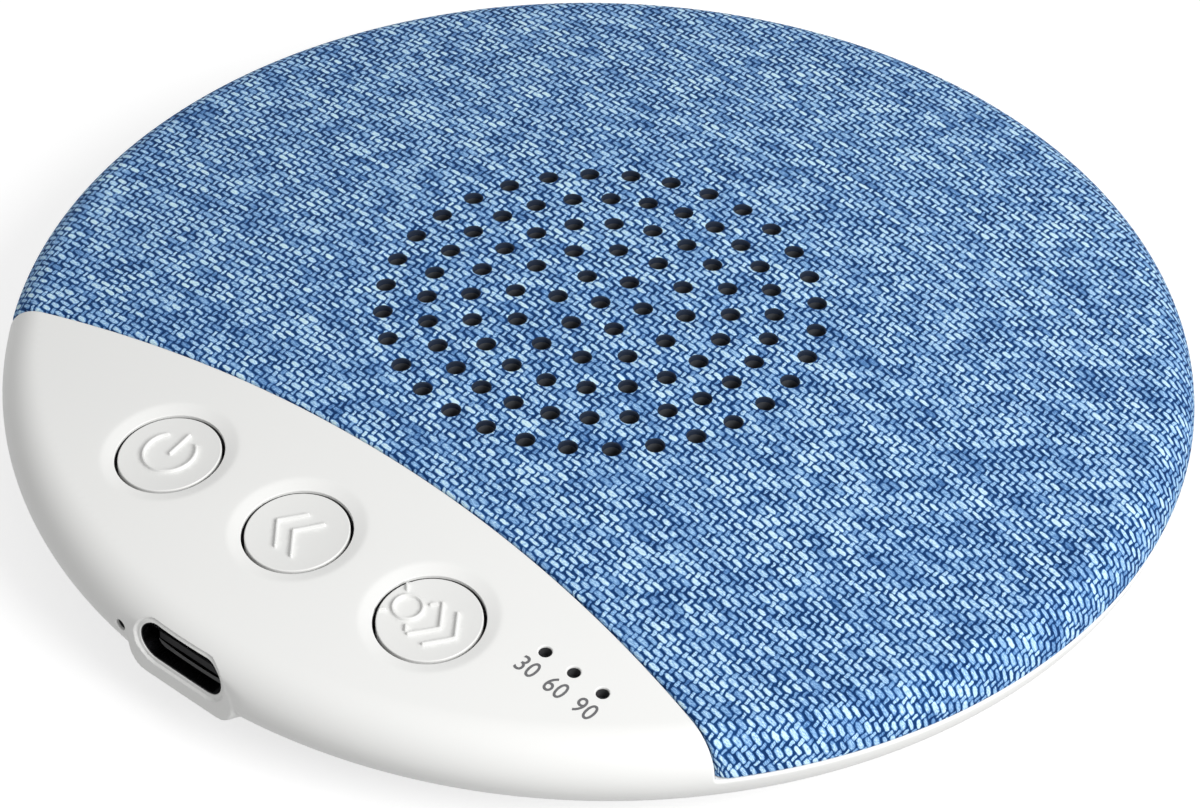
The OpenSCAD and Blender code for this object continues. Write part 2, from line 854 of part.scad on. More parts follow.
// Folded metal shell of the charging socket, with its solder feet
module usb_shell() {
    color(metal) {
        difference() {
            slot_bar(shell_w, shell_h, shell_front, shell_back);
            slot_bar(shell_w - 2 * shell_skin, shell_h - 2 * shell_skin, shell_front - over, shell_back - shell_skin);
        }
        for (s = [-1, 1])
            block(s * (shell_w / 2 + 0.2), shell_back - 2, board_top, [1, 1.2, shell_h / 2]);
    }
}

// Insulator of the charging socket with its contact tongue
module usb_tongue() {
    tip = shell_front + 0.9;
    base = shell_back - shell_skin - fit;
    tongue_t = 0.7;
    inset = shell_skin + fit;
    color("#202124") {
        slot_bar(shell_w - 2 * inset, shell_h - 2 * inset, base - 1.5, base);
        block(0, (tip + base) / 2, port_h - tongue_t / 2, [0.75 * shell_w, base - tip, tongue_t]);
    }
}

// ---------------------------------------------------------------- battery

// Flat pouch cell
module battery() {
    color("#C9CCD1")
        soft_block(0, (battery_front + battery_back) / 2, battery_z, [battery_l, battery_w, battery_t], 1.2);
}

// Protection circuit along the cell's front edge
module battery_circuit() {
    color("#C99A2E")
        block(0, battery_front - circuit_w / 2, battery_z, [circuit_l, circuit_w, circuit_h]);
}

// Adhesive foam pad between the cell and the floor of the housing
module battery_pad() {
    pad_front = opening_r + 1.5;
    color("#3A3B3D")
        block(0, (pad_front + battery_back) / 2, floor_top,
            [battery_l - 8, battery_back - pad_front - 2, pad_t]);
}

// Two-way connector on the board, at x
module lead_connector(x) {
    color("#EFE9DA")
        block(x, -board_rear - connector_size[1] / 2, board_top,
            [connector_size[0], connector_size[1], connector_h]);
}

// Point on the smooth curve through four route points, at t from b to c
function curve(a, b, c, d, t) =
    0.5 * (2 * b + (c - a) * t + (2 * a - 5 * b + 4 * c - d) * t * t + (3 * b - a - 3 * c + d) * t * t * t);
// The route with n points for each of its stretches, straight at both ends
function smooth(p, n) = concat(
    [p[0]],
    [for (i = [1:len(p) - 3], k = [0:n - 1]) curve(p[i - 1], p[i], p[i + 1], p[i + 2], k / n)],
    [p[len(p) - 2], p[len(p) - 1]]);
// Direction of a route at point i
function heading(p, i) =
    let (v = p[min(i + 1, len(p) - 1)] - p[max(i - 1, 0)]) v / norm(v);
// Level direction across a route at point i
function across(p, i) = let (v = cross(heading(p, i), [0, 0, 1])) v / norm(v);

// One insulated wire along a route, moved sideways by s
module wire(route, s) {
    sides = 8;
    p = smooth(route, 3);
    n = len(p);
    points = [for (i = [0:n - 1], k = [0:sides - 1])
        let (u = across(p, i), v = cross(u, heading(p, i)), a = 360 * k / sides)
        p[i] + s * u + lead_d / 2 * (cos(a) * u + sin(a) * v)];
    faces = concat(
        [[for (k = [0:sides - 1]) k]],
        [for (i = [0:n - 2], k = [0:sides - 1])
            let (a = i * sides + k, b = i * sides + (k + 1) % sides)
            [a, a + sides, b + sides, b]],
        [[for (k = [0:sides - 1]) n * sides - 1 - k]]);
    polyhedron(points = points, faces = faces);
}

// Pair of wires side by side along a route
module lead_pair(route) {
    color("#B3202A") wire(route, lead_d / 2 + 0.06);
    color("#1E1E20") wire(route, -lead_d / 2 - 0.06);
}

// ---------------------------------------------------------------- speaker

// Steel basket with six windows, a ledge for the surround and a flange for the gasket
module speaker_frame() {
    foot = cup_top - 0.6;
    color(metal)
    difference() {
        rotate_extrude()
            polygon([
                [cup_r + fit, foot], [cup_r + 1.9, foot], [frame_in - 0.5, ledge_z - 0.6],
                [speaker_r, ledge_z - 0.6], [speaker_r, flange_z], [frame_in, flange_z],
                [frame_in, ledge_z], [frame_in - 1.2, ledge_z], [frame_in - 1.2, ledge_z - 0.4],
                [cup_r + 1.5, cup_top], [cup_r + fit, cup_top]
            ]);
        for (i = [0:5])
            rotate([0, 0, 30 + 60 * i])
            translate([cup_r + 2.1, -3, foot - over])
            cube([frame_in - cup_r - 4.1, 6, ledge_z - foot + over]);
    }
}

// Foam ring between the speaker's flange and the dust mesh
module speaker_gasket() {
    color("#232427") ring(frame_in, speaker_r - 0.1, flange_z, gasket_t);
}

// Steel cup that holds the magnet
module magnet_cup() {
    color(metal)
    difference() {
        translate([0, 0, cup_z]) cylinder(r = cup_r, h = cup_h);
        translate([0, 0, cup_z + cup_floor]) cylinder(r = cup_r - cup_wall, h = cup_h);
    }
}

// Disc magnet
module speaker_magnet() {
    color("#8C8F94")
        translate([0, 0, cup_z + cup_floor]) cylinder(r = plate_r - 0.2, h = cup_h - cup_floor - plate_t);
}

// Pole plate on the magnet, level with the cup
module pole_plate() {
    color(metal) translate([0, 0, cup_top - plate_t]) cylinder(r = plate_r, h = plate_t);
}

// Voice coil on its former
module voice_coil() {
    color("#B5642C") {
        ring(former_in, former_in + former_t, coil_foot, former_top - coil_foot);
        ring(former_in + former_t / 2, coil_out, coil_foot + 0.15, 1.5);
    }
}

// Cone with a flat rim for the surround
module speaker_cone() {
    neck = former_in + former_t + fit;
    color("#2A2C30")
        rotate_extrude()
        polygon([
            [neck, former_top - 0.6], [cone_r - lip_w, ledge_z - 0.35], [cone_r, ledge_z - 0.35],
            [cone_r, ledge_z], [cone_r - lip_w, ledge_z], [neck, former_top - 0.2]
        ]);
}

// Domed cap over the voice coil
module dust_cap() {
    skin = 0.25;
    foot_r = former_in + former_t;
    cap_r = (foot_r * foot_r + dust_h * dust_h) / (2 * dust_h);
    drop = cap_r - dust_h;
    centre = [0, former_top - drop];
    color("#2A2C30")
        rotate_extrude()
        polygon(concat(
            arc(centre, cap_r, 90, asin(drop / cap_r), 8),
            arc(centre, cap_r - skin, asin(drop / (cap_r - skin)), 90, 8)));
}

// Rubber roll between the cone and the frame's ledge
module cone_surround() {
    mid_z = ledge_z + surround_t / 2;
    color("#3A3B3D")
        rotate_extrude() {
            intersection() {
                translate([roll_c, mid_z])
                    difference() {
                        circle(r = roll_r + surround_t / 2, $fn = 48);
                        circle(r = roll_r - surround_t / 2, $fn = 48);
                    }
                translate([0, mid_z]) square([speaker_r, 2 * roll_r]);
            }
            for (side = [-1, 1])
                translate([roll_c + side * (roll_r + lip_w / 2) - lip_w / 2, ledge_z]) square([lip_w, surround_t]);
        }
}

// Terminal strip on the side of the frame
module speaker_terminals() {
    color("#C99A2E")
        rotate([0, 0, terminal_a])
        block(terminal_r + terminal_size[0] / 2, 0, terminal_z, terminal_size);
}

main_housing();
base_cover();
grille_cap();
fabric_skin();
dust_mesh();
button_cap(-1);  // power_button
button_cap(0);  // previous_button
button_cap(1);  // next_button
switch_plunger(-1);  // power_plunger
switch_plunger(0);  // previous_plunger
switch_plunger(1);  // next_plunger
switch_case(-1);  // power_switch
switch_case(0);  // previous_switch
switch_case(1);  // next_switch
main_board();
board_screws();
controller_chip();
amplifier_chip();
memory_chip();
board_parts();
timer_leds();
timer_light_guide();
charge_led();
charge_light_guide();
usb_shell();
usb_tongue();
battery();
battery_circuit();
battery_pad();
lead_connector(-connector_x);  // battery_connector
lead_pair(battery_route);  // battery_leads
speaker_frame();
speaker_gasket();
magnet_cup();
speaker_magnet();
pole_plate();
voice_coil();
speaker_cone();
dust_cap();
cone_surround();
speaker_terminals();
lead_connector(connector_x);  // speaker_connector
lead_pair(speaker_route);  // speaker_leads
rubber_feet();
base_screws();
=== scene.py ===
"""White noise sound machine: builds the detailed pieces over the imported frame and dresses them.

The body is a low round puck. Its half section is unrolled into a flat plan, in which the edges
of the housing and of the cloth are laid out and triangulated, and the plan is then folded back
over the body. Lengths in the classes are millimetres; meshes are in metres.
"""

import json
import logging
import math
from dataclasses import dataclass, field
from enum import Enum
from typing import Callable, Sequence

import bmesh
import bpy
import numpy as np
from mathutils import Matrix, Vector
from mathutils.geometry import delaunay_2d_cdt
from mathutils.kdtree import KDTree


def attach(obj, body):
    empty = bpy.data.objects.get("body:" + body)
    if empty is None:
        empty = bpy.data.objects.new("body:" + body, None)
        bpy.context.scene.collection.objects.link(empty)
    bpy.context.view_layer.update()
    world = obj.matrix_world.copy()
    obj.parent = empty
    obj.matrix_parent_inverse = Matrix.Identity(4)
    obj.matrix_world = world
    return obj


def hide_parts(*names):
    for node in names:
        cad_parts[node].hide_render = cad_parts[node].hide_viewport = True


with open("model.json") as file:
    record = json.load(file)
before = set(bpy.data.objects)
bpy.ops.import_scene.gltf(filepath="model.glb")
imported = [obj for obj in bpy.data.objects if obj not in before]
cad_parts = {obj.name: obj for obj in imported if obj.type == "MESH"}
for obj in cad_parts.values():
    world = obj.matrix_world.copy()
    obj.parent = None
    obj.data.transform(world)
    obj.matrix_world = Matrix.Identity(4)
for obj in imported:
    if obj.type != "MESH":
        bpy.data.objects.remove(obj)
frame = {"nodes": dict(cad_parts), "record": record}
log = logging.getLogger("sound_machine")
MM = 0.001
UP = np.array([0.0, 0.0, 1.0])

# A function of plan points or of a row's points, a row's points with their normals, and a set of
# points with its least distance to the sets before it
PlaceOf = Callable[[np.ndarray], np.ndarray]
Row = tuple[np.ndarray, np.ndarray | None]
PointSet = tuple[np.ndarray, float]


# ------------------------------------------------------------------ plan and section

def unit(rows: np.ndarray) -> np.ndarray:
    """Scales each row to length one."""
    return rows / np.maximum(np.linalg.norm(rows, axis=-1, keepdims=True), 1e-12)


def soft_max(a: np.ndarray, b: np.ndarray, width: float) -> np.ndarray:
    """Larger of two heights, with the crease between them rounded over a width."""
    return (a + b + np.sqrt((a - b) ** 2 + width ** 2)) / 2


def ease(x: np.ndarray) -> np.ndarray:
    """Smooth step from 0 at 0 to 1 at 1."""
    t = np.clip(x, 0, 1)
    return t * t * (3 - 2 * t)


def turn(a: np.ndarray, b: np.ndarray, share: float) -> np.ndarray:
    """Turns each direction of a towards b by a share of the angle between them.

    Args:
        a: Directions to start from, one per row.
        b: Directions to turn towards.
        share: 0 keeps the first directions, 1 gives the second.

    Returns:
        The turned directions.
    """
    angle = np.arccos(np.clip((a * b).sum(1), -1, 1))[:, None]
    sine = np.maximum(np.sin(angle), 1e-6)
    return unit((np.sin((1 - share) * angle) * a + np.sin(share * angle) * b) / sine)


def circle(centre: Sequence[float], radius: float, count: int, start: float = 0.0) -> np.ndarray:
    """Points of a circle in the plan, anticlockwise from an angle in radians."""
    a = start + np.arange(count) * 2 * math.pi / count
    return np.asarray(centre, float) + radius * np.stack([np.cos(a), np.sin(a)], 1)


def stadium(width: float, height: float, grow: float, count: int) -> np.ndarray:
    """Points of a long round-ended outline, anticlockwise.

    Args:
        width: Length over the round ends.
        height: Width across.
        grow: How far the outline is moved outwards.
        count: Number of points on each round end; the straights get one and a half times as many.

    Returns:
        The outline's points, centred on the origin.
    """
    half = (width - height) / 2
    r = height / 2 + grow
    ends = []
    for sign, a0 in ((1, -math.pi / 2), (-1, math.pi / 2)):
        a = a0 + np.arange(count + 1) * math.pi / count
        ends.append(np.stack([sign * half + r * np.cos(a), r * np.sin(a)], 1))
    straight = np.linspace(1, -1, count * 3 // 2 + 2)[1:-1, None] * [half, 0]
    return np.concatenate([ends[0], straight + [0, r], ends[1], -straight - [0, r]])


@dataclass
class BodyLine:
    """Half section of the body from the crown to the underside, unrolled by its own length."""

    rim_r: float = 51.0
    crown_z: float = 16.0
    seam_z: float = 8.45
    dome_r: float = 297.0
    bowl_in: float = 16.3
    under_z: float = 0.8
    under_run: float = 14.0
    steps: int = 1500
    table: np.ndarray = field(init=False)
    seam_s: float = field(init=False)
    top_rows: int = field(init=False)

    def __post_init__(self) -> None:
        """Lists length, radius, height and outward direction along the section."""
        centre_z = self.crown_z - self.dome_r
        rise = self.seam_z - centre_z
        shoulder = self.dome_r ** 2 - rise ** 2 - self.rim_r ** 2
        shoulder /= 2 * (self.dome_r - self.rim_r)
        across = self.rim_r - shoulder
        lean = math.atan2(across, rise)
        bowl_h, flat_r = self.seam_z - self.under_z, self.rim_r - self.bowl_in
        t = np.linspace(0, 1, self.steps)[1:]
        rows = [(0.0, self.crown_z, 0.0, 1.0)]
        for radius, from_r, from_z, angles in (
                (self.dome_r, 0.0, centre_z, t * lean),
                (shoulder, across, self.seam_z, lean + t * (math.pi / 2 - lean))):
            rows += [(from_r + radius * math.sin(a), from_z + radius * math.cos(a),
                      math.sin(a), math.cos(a)) for a in angles]
        seam_row = len(rows) - 1
        for a in t * math.pi / 2:
            n = unit(np.array([math.cos(a) / self.bowl_in, -math.sin(a) / bowl_h]))
            rows.append((flat_r + self.bowl_in * math.cos(a), self.seam_z - bowl_h * math.sin(a),
                         n[0], n[1]))
        rows += [(flat_r - self.under_run * k, self.under_z, 0.0, -1.0) for k in t]
        line = np.array(rows)
        length = np.concatenate([[0], np.cumsum(np.hypot(*np.diff(line[:, :2], axis=0).T))])
        self.table = np.column_stack([length, line])
        self.seam_s = float(length[seam_row])
        self.top_rows = seam_row + 1

    def at(self, s: np.ndarray) -> list[np.ndarray]:
        """Radius, height and the two parts of the outward direction at lengths s."""
        return [np.interp(s, self.table[:, 0], self.table[:, k]) for k in (1, 2, 3, 4)]

    def lift(self, plan: np.ndarray) -> tuple[np.ndarray, np.ndarray]:
        """Folds plan points over the body.

        Args:
            plan: Points of the plan, one per row.

        Returns:
            Their places in space and the outward directions there.
        """
        s = np.hypot(plan[:, 0], plan[:, 1])
        way = plan / np.maximum(s, 1e-9)[:, None]
        r, z, nr, nz = self.at(s)
        return np.column_stack([way * r[:, None], z]), np.column_stack([way * nr[:, None], nz])

    def s_of_z(self, z: np.ndarray) -> np.ndarray:
        """Length along the section down to a height."""
        return np.interp(-np.asarray(z, float), -self.table[:, 2], self.table[:, 0])

    def plan_of_top(self, xy: np.ndarray) -> np.ndarray:
        """Plan points that lie at x, y on the top of the body.

        Args:
            xy: Places seen from above, one per row.

        Returns:
            The matching plan points.
        """
        r = np.hypot(xy[:, 0], xy[:, 1])
        s = np.interp(r, self.table[:self.top_rows, 1], self.table[:self.top_rows, 0])
        return xy * (s / np.maximum(r, 1e-9))[:, None]

    def plan_of_front(self, xz: np.ndarray) -> np.ndarray:
        """Plan points that lie at x, z on the front of the body.

        Args:
            xz: Places seen from the front, one per row.

        Returns:
            The matching plan points.
        """
        s = self.s_of_z(xz[:, 1])
        r = self.at(s)[0]
        y = -np.sqrt(np.maximum(r ** 2 - xz[:, 0] ** 2, 0))
        return np.column_stack([xz[:, 0], y]) * (s / r)[:, None]

    def dome_z(self, r: np.ndarray) -> np.ndarray:
        """Height of the dome at a radius."""
        return self.crown_z - self.dome_r + np.sqrt(self.dome_r ** 2 - np.asarray(r, float) ** 2)


BODY = BodyLine()


def inside(points: np.ndarray, loops: Sequence[np.ndarray]) -> np.ndarray:
    """Tells which points lie inside an odd number of closed loops.

    Args:
        points: Points to test, one per row.
        loops: Closed outlines.

    Returns:
        True for each point inside.
    """
    odd = np.zeros(len(points), bool)
    for loop in loops:
        near = np.flatnonzero(((points >= loop.min(0)) & (points <= loop.max(0))).all(1))
        if not len(near):
            continue
        x, y = points[near].T
        hit = np.zeros(len(near), bool)
        for (ax, ay), (bx, by) in zip(loop, np.roll(loop, -1, 0)):
            if ay != by:
                hit ^= ((ay > y) != (by > y)) & (x < (bx - ax) * (y - ay) / (by - ay) + ax)
        odd[near] ^= hit
    return odd


def fill(loops: Sequence[np.ndarray],
         groups: Sequence[PointSet]) -> tuple[np.ndarray, np.ndarray]:
    """Triangulates the part of the plan between closed loops.

    Args:
        loops: The outlines; the part inside an odd number of them is filled.
        groups: Sets of points to use inside, each with the least distance to what came before it.

    Returns:
        The plan points, the loops' points first and in their order, and the triangles.
    """
    kept = [np.concatenate(loops)]
    taken = np.concatenate([loop + (np.roll(loop, -1, 0) - loop) * k
                            for loop in loops for k in (0, 0.25, 0.5, 0.75)])
    for points, clear in groups:
        points = points[inside(points, loops)]
        tree = KDTree(len(taken))
        for i, p in enumerate(taken):
            tree.insert((p[0], p[1], 0), i)
        tree.balance()
        free = [p for p in points if tree.find((p[0], p[1], 0))[2] > clear]
        if free:
            kept.append(np.array(free))
            taken = np.concatenate([taken, kept[-1]])
    points = np.concatenate(kept)
    edges, base = [], 0
    for loop in loops:
        edges += [(base + i, base + (i + 1) % len(loop)) for i in range(len(loop))]
        base += len(loop)
    out = delaunay_2d_cdt([Vector(p) for p in points], edges, [], 0, 1e-6, True)
    place = np.array([o[0] for o in out[3]])
    faces = place[np.array(out[2])]
    return points, faces[inside(points[faces].mean(1), loops)]


def rings(radii: Sequence[float], pitch: float) -> np.ndarray:
    """Points on circles round the plan's middle, about a pitch apart."""
    return np.concatenate([circle((0, 0), r, max(6, round(2 * math.pi * r / pitch)), r)
                           for r in radii])


def lattice(reach: float, pitch: float) -> np.ndarray:
    """Points of a triangular grid that covers a square of twice the reach.

    Args:
        reach: Half the side of the square.
        pitch: Distance between neighbours.

    Returns:
        The points, one per row.
    """
    n = int(reach / pitch) + 2
    i, j = np.meshgrid(np.arange(-n, n + 1), np.arange(-2 * n, 2 * n + 1))
    return np.column_stack([((i + j * 0.5) * pitch).ravel(), (j * pitch * math.sqrt(0.75)).ravel()])


# ------------------------------------------------------------------ building a skin

class Skin:
    """Faces of one closed piece, each corner with its own normal."""

    def __init__(self) -> None:
        """Starts with nothing."""
        self.points: list[np.ndarray] = []
        self.plan: list[np.ndarray] = []
        self.count = 0
        self.faces: list[list[int]] = []
        self.normals: list[np.ndarray] = []
        self.second: list[int] = []

    def add(self, points: np.ndarray, plan: np.ndarray) -> np.ndarray:
        """Adds points with their places on the flat plan, and returns their numbers.

        Args:
            points: The points, one per row.
            plan: Their places on the flat plan.

        Returns:
            The numbers that the points got.
        """
        self.points.append(points)
        self.plan.append(plan)
        self.count += len(points)
        return np.arange(self.count - len(points), self.count)

    def mark(self, first: int) -> None:
        """Gives the faces from a number on the piece's second material."""
        self.second += range(first, len(self.faces))

    def patch(self, ids: np.ndarray, faces: np.ndarray, normals: np.ndarray,
              flip: bool = False) -> None:
        """Adds triangles over the points ids; faces and normals count from the first of them.

        Args:
            ids: Numbers of the patch's points.
            faces: Triangles, counted from the first of those points.
            normals: Normals, one for each of those points.
            flip: Whether the triangles are wound the other way.
        """
        if flip:
            faces = faces[:, ::-1]
        self.faces += ids[faces].tolist()
        self.normals.append(normals[faces].reshape(-1, 3))

    def strip(self, a: np.ndarray, b: np.ndarray, na: np.ndarray, nb: np.ndarray,
              flip: bool) -> None:
        """Joins two closed rows of points by a band of quads.

        Args:
            a: Numbers of the first row's points.
            b: Numbers of the second row's points.
            na: Normals along the first row.
            nb: Normals along the second row.
            flip: Whether the band is wound the other way.
        """
        i, j = np.arange(len(a)), np.roll(np.arange(len(a)), -1)
        quads = np.stack([a[i], a[j], b[j], b[i]], 1)
        corner = np.stack([na[i], na[j], nb[j], nb[i]], 1)
        if flip:
            quads, corner = quads[:, ::-1], corner[:, ::-1]
        self.faces += quads.tolist()
        self.normals.append(corner.reshape(-1, 3))

    def rows(self, start: np.ndarray, rows: Sequence[Row],
             normal: np.ndarray, plan: np.ndarray, out: np.ndarray,
             end: np.ndarray | None = None) -> np.ndarray:
        """Carries an edge on through rows of points.

        Args:
            start: Numbers of the edge's own points.
            rows: Each next row's points and normals; normals of None make a crease on both sides.
            normal: Normals along the edge.
            plan: The edge on the plan.
            out: Direction on the plan in which the edge is carried on.
            end: Numbers of existing points that the last row is joined to.

        Returns:
            Numbers of the last row's points.
        """
        here = np.concatenate(self.points)[start]
        ahead = np.roll(here, -1, 0) - np.roll(here, 1, 0)
        first = rows[0][0]
        flip = float((np.cross(ahead, first - here) * normal).sum()) < 0
        gone = np.zeros(len(start))
        last_ids, last_points, last_normals = start, here, normal
        steps = list(rows)
        if end is not None:
            steps.append((np.concatenate(self.points)[end], None))
        for k, (points, normals) in enumerate(steps):
            gone = gone + np.linalg.norm(points - last_points, axis=1)
            closing = end is not None and k == len(steps) - 1
            ids = end if closing else self.add(points, plan + out * gone[:, None])
            if normals is None or last_normals is None:
                along = np.roll(points, -1, 0) - np.roll(points, 1, 0)
                flat = unit(np.cross(along, points - last_points)) * (-1 if flip else 1)
                self.strip(last_ids, ids, flat, flat, flip)
            else:
                self.strip(last_ids, ids, last_normals, normals, flip)
            last_ids, last_points, last_normals = ids, points, normals
        return last_ids

    def build(self, name: str, with_plan: bool = False) -> bpy.types.Object:
        """Makes the mesh object.

        Args:
            name: The piece's name.
            with_plan: Whether the mesh gets the flat plan, in metres, as its UV map.

        Returns:
            The finished object.
        """
        mesh = bpy.data.meshes.new(name)
        points = np.concatenate(self.points) * MM
        mesh.from_pydata(points.tolist(), [], self.faces)
        mesh.polygons.foreach_set("use_smooth", np.ones(len(self.faces), bool))
        layer = np.zeros(len(self.faces), np.int32)
        layer[self.second] = 1
        mesh.polygons.foreach_set("material_index", layer)
        mesh.normals_split_custom_set(np.concatenate(self.normals).tolist())
        if with_plan:
            layer = mesh.uv_layers.new(name="weave")
            corner = np.zeros(len(mesh.loops), np.int32)
            mesh.loops.foreach_get("vertex_index", corner)
            layer.data.foreach_set("uv", (np.concatenate(self.plan)[corner] * MM).ravel())
        mesh.update()
        piece = bpy.data.objects.new(name, mesh)
        bpy.context.scene.collection.objects.link(piece)
        return piece


def roll(points: np.ndarray, n: np.ndarray, w: np.ndarray, radius: float | np.ndarray,
         steps: int) -> list[Row]:
    """Rows of a rounded edge from a surface facing n over to a wall facing w.

    Args:
        points: Points of the edge, one per row.
        n: Directions that the surface faces there.
        w: Directions that the wall faces there.
        radius: Radius of the rounding.
        steps: Number of rows.

    Returns:
        The rows, each with its points and normals.
    """
    centre = points - radius * n
    turned = [turn(n, w, k / steps) for k in range(1, steps + 1)]
    return [(centre + radius * way, way) for way in turned]


def surface_normals(place: PlaceOf, plan: np.ndarray,
                    step: float = 0.01) -> np.ndarray:
    """Outward directions of a surface that is given as a function of the plan.

    Args:
        place: Gives the surface as a function of the plan.
        plan: Plan points, one per row.
        step: How far to each side the slope is taken.

    Returns:
        The directions, one per row.
    """
    dx = place(plan + [step, 0]) - place(plan - [step, 0])
    dy = place(plan + [0, step]) - place(plan - [0, step])
    return unit(np.cross(dx, dy))


def seat(place: PlaceOf, want: np.ndarray, wall: np.ndarray,
         radius: float, axes: tuple[int, int],
         plan_of: PlaceOf) -> np.ndarray:
    """Plan outline from which a rounded edge rolls into a wall.

    Args:
        place: Gives the finished surface as a function of the plan.
        want: Where the wall stands, in the two axes across it.
        wall: Directions that the wall faces.
        radius: Radius of the rounded edge.
        axes: The two axes across the wall.
        plan_of: Finds plan points from places in those axes.

    Returns:
        The outline on the plan.
    """
    axes = list(axes)
    plan = plan_of(want - radius * wall[:, axes])
    for _ in range(6):
        p = place(plan)
        n = surface_normals(place, plan)
        off = want - (p + radius * (wall - n))[:, axes]
        plan = plan_of(BODY.lift(plan)[0][:, axes] + off)
    return plan


# ------------------------------------------------------------------ housing

@dataclass
class Deck:
    """Layout of the crescent of controls, shared by the pieces on it."""

    edge_y: float = -25.85
    arc_r: float = 161.0
    button_x: float = -0.17
    button_y: float = -36.56
    button_pitch: float = 14.83
    button_r: float = 4.34
    well_r: float = 4.62
    dish_r: float = 5.75
    dish_depth: float = 0.32
    lamp_y: float = -33.1
    lamp_x: float = 24.05
    lamp_pitch: float = 3.07
    lamp_r: float = 0.56
    port_z: float = 8.617
    face_y: float = -50.5
    slot_w: float = 9.2
    slot_h: float = 3.54
    chamfer: float = 0.45
    pin_x: float = -6.8
    pin_z: float = 8.197
    pin_r: float = 0.5
    corner: float = 0.9

    @property
    def arc_centre(self) -> np.ndarray:
        """Centre of the deck's rear edge."""
        return np.array([0.0, self.edge_y - self.arc_r])

    @property
    def buttons(self) -> list[tuple[float, float]]:
        """Centres of the three wells."""
        return [(self.button_x + i * self.button_pitch, self.button_y) for i in (-1, 0, 1)]

    @property
    def lamps(self) -> list[tuple[float, float]]:
        """Centres of the three timer light holes."""
        return [(self.lamp_x + i * self.lamp_pitch, self.lamp_y) for i in range(3)]


DECK = Deck()


def edge_loop(radius: float, side: int, gap: float, s_end: float) -> tuple[np.ndarray, np.ndarray]:
    """Closed plan outline along the deck's rear edge and round the back of the body.

    Args:
        radius: Radius of the rounded edge that starts at the outline.
        side: 1 for the piece in front of the deck's rear edge, -1 for the piece behind it.
        gap: How far the edge's wall stands behind the deck's arc.
        s_end: Section length at which the outline runs round the body.

    Returns:
        The outline anticlockwise, and for each point the share, from 0 on the deck's edge to 1
        round the body.
    """
    corner, wall_r = DECK.corner, DECK.arc_r + gap
    reach, low, high, halvings = 47, -52.0, -22.0, 45
    fine_run, fine_points, arc_points, back_points, bend_points = 9, 30, 110, 270, 10
    u = np.linspace(-reach, reach, 1881)
    lo, hi = np.full_like(u, low), np.full_like(u, high)
    for _ in range(halvings):
        mid = (lo + hi) / 2
        p, n = BODY.lift(np.column_stack([u, mid]))
        off = np.linalg.norm(p[:, :2] - radius * n[:, :2] - DECK.arc_centre, axis=1)
        off = off + side * radius - wall_r
        lo, hi = np.where(off < 0, mid, lo), np.where(off < 0, hi, mid)
    arc = np.column_stack([u, (lo + hi) / 2])
    arc = arc[np.hypot(arc[:, 0], arc[:, 1]) < s_end]
    length = np.concatenate([[0], np.cumsum(np.linalg.norm(np.diff(arc, axis=0), axis=1))])
    first, last = corner + fine_run, length[-1] - corner - fine_run
    stations = np.concatenate([
        np.linspace(corner, first, fine_points)[:-1], np.linspace(first, last, arc_points),
        np.linspace(last, length[-1] - corner, fine_points)[1:]])
    along = np.column_stack([np.interp(stations, length, arc[:, k]) for k in (0, 1)])
    start = math.atan2(arc[-1, 1], arc[-1, 0]) + corner / s_end
    around = np.linspace(start, math.pi - start, back_points)
    back = s_end * np.column_stack([np.cos(around), np.sin(around)])
    t = np.linspace(0, 1, bend_points + 2)[1:-1]
    bends = []
    for p, q, m in ((along[-1], back[0], arc[-1]), (back[-1], along[0], arc[0])):
        tip = m * s_end / np.linalg.norm(m)
        k = t[:, None]
        bends.append((1 - k) ** 2 * p + 2 * k * (1 - k) * tip + k * k * q)
    share = np.concatenate([np.zeros(len(along)), t, np.ones(len(back)), t[::-1]])
    return np.concatenate([along, bends[0], back, bends[1]]), share


def outward(loop: np.ndarray) -> np.ndarray:
    """Directions in the plan that point out of an anticlockwise loop."""
    along = unit(np.roll(loop, -1, 0) - np.roll(loop, 1, 0))
    return np.column_stack([along[:, 1], -along[:, 0]])


@dataclass
class Opening:
    """One opening of the housing: the outline of its edge, its wall and its inner outline. Where
    dark is set, the wall below a white band pale millimetres deep gets painted shade.
    """

    plan: np.ndarray
    wall: np.ndarray
    roll: float | np.ndarray
    steps: int
    out: np.ndarray
    deep: PlaceOf
    inner: np.ndarray
    more: Sequence[PlaceOf] = ()
    # Depth of the wall that stays white above the painted shade
    pale: float = 0.0
    # Whether the rest of the wall gets painted shade for the shadow inside the opening
    dark: bool = False


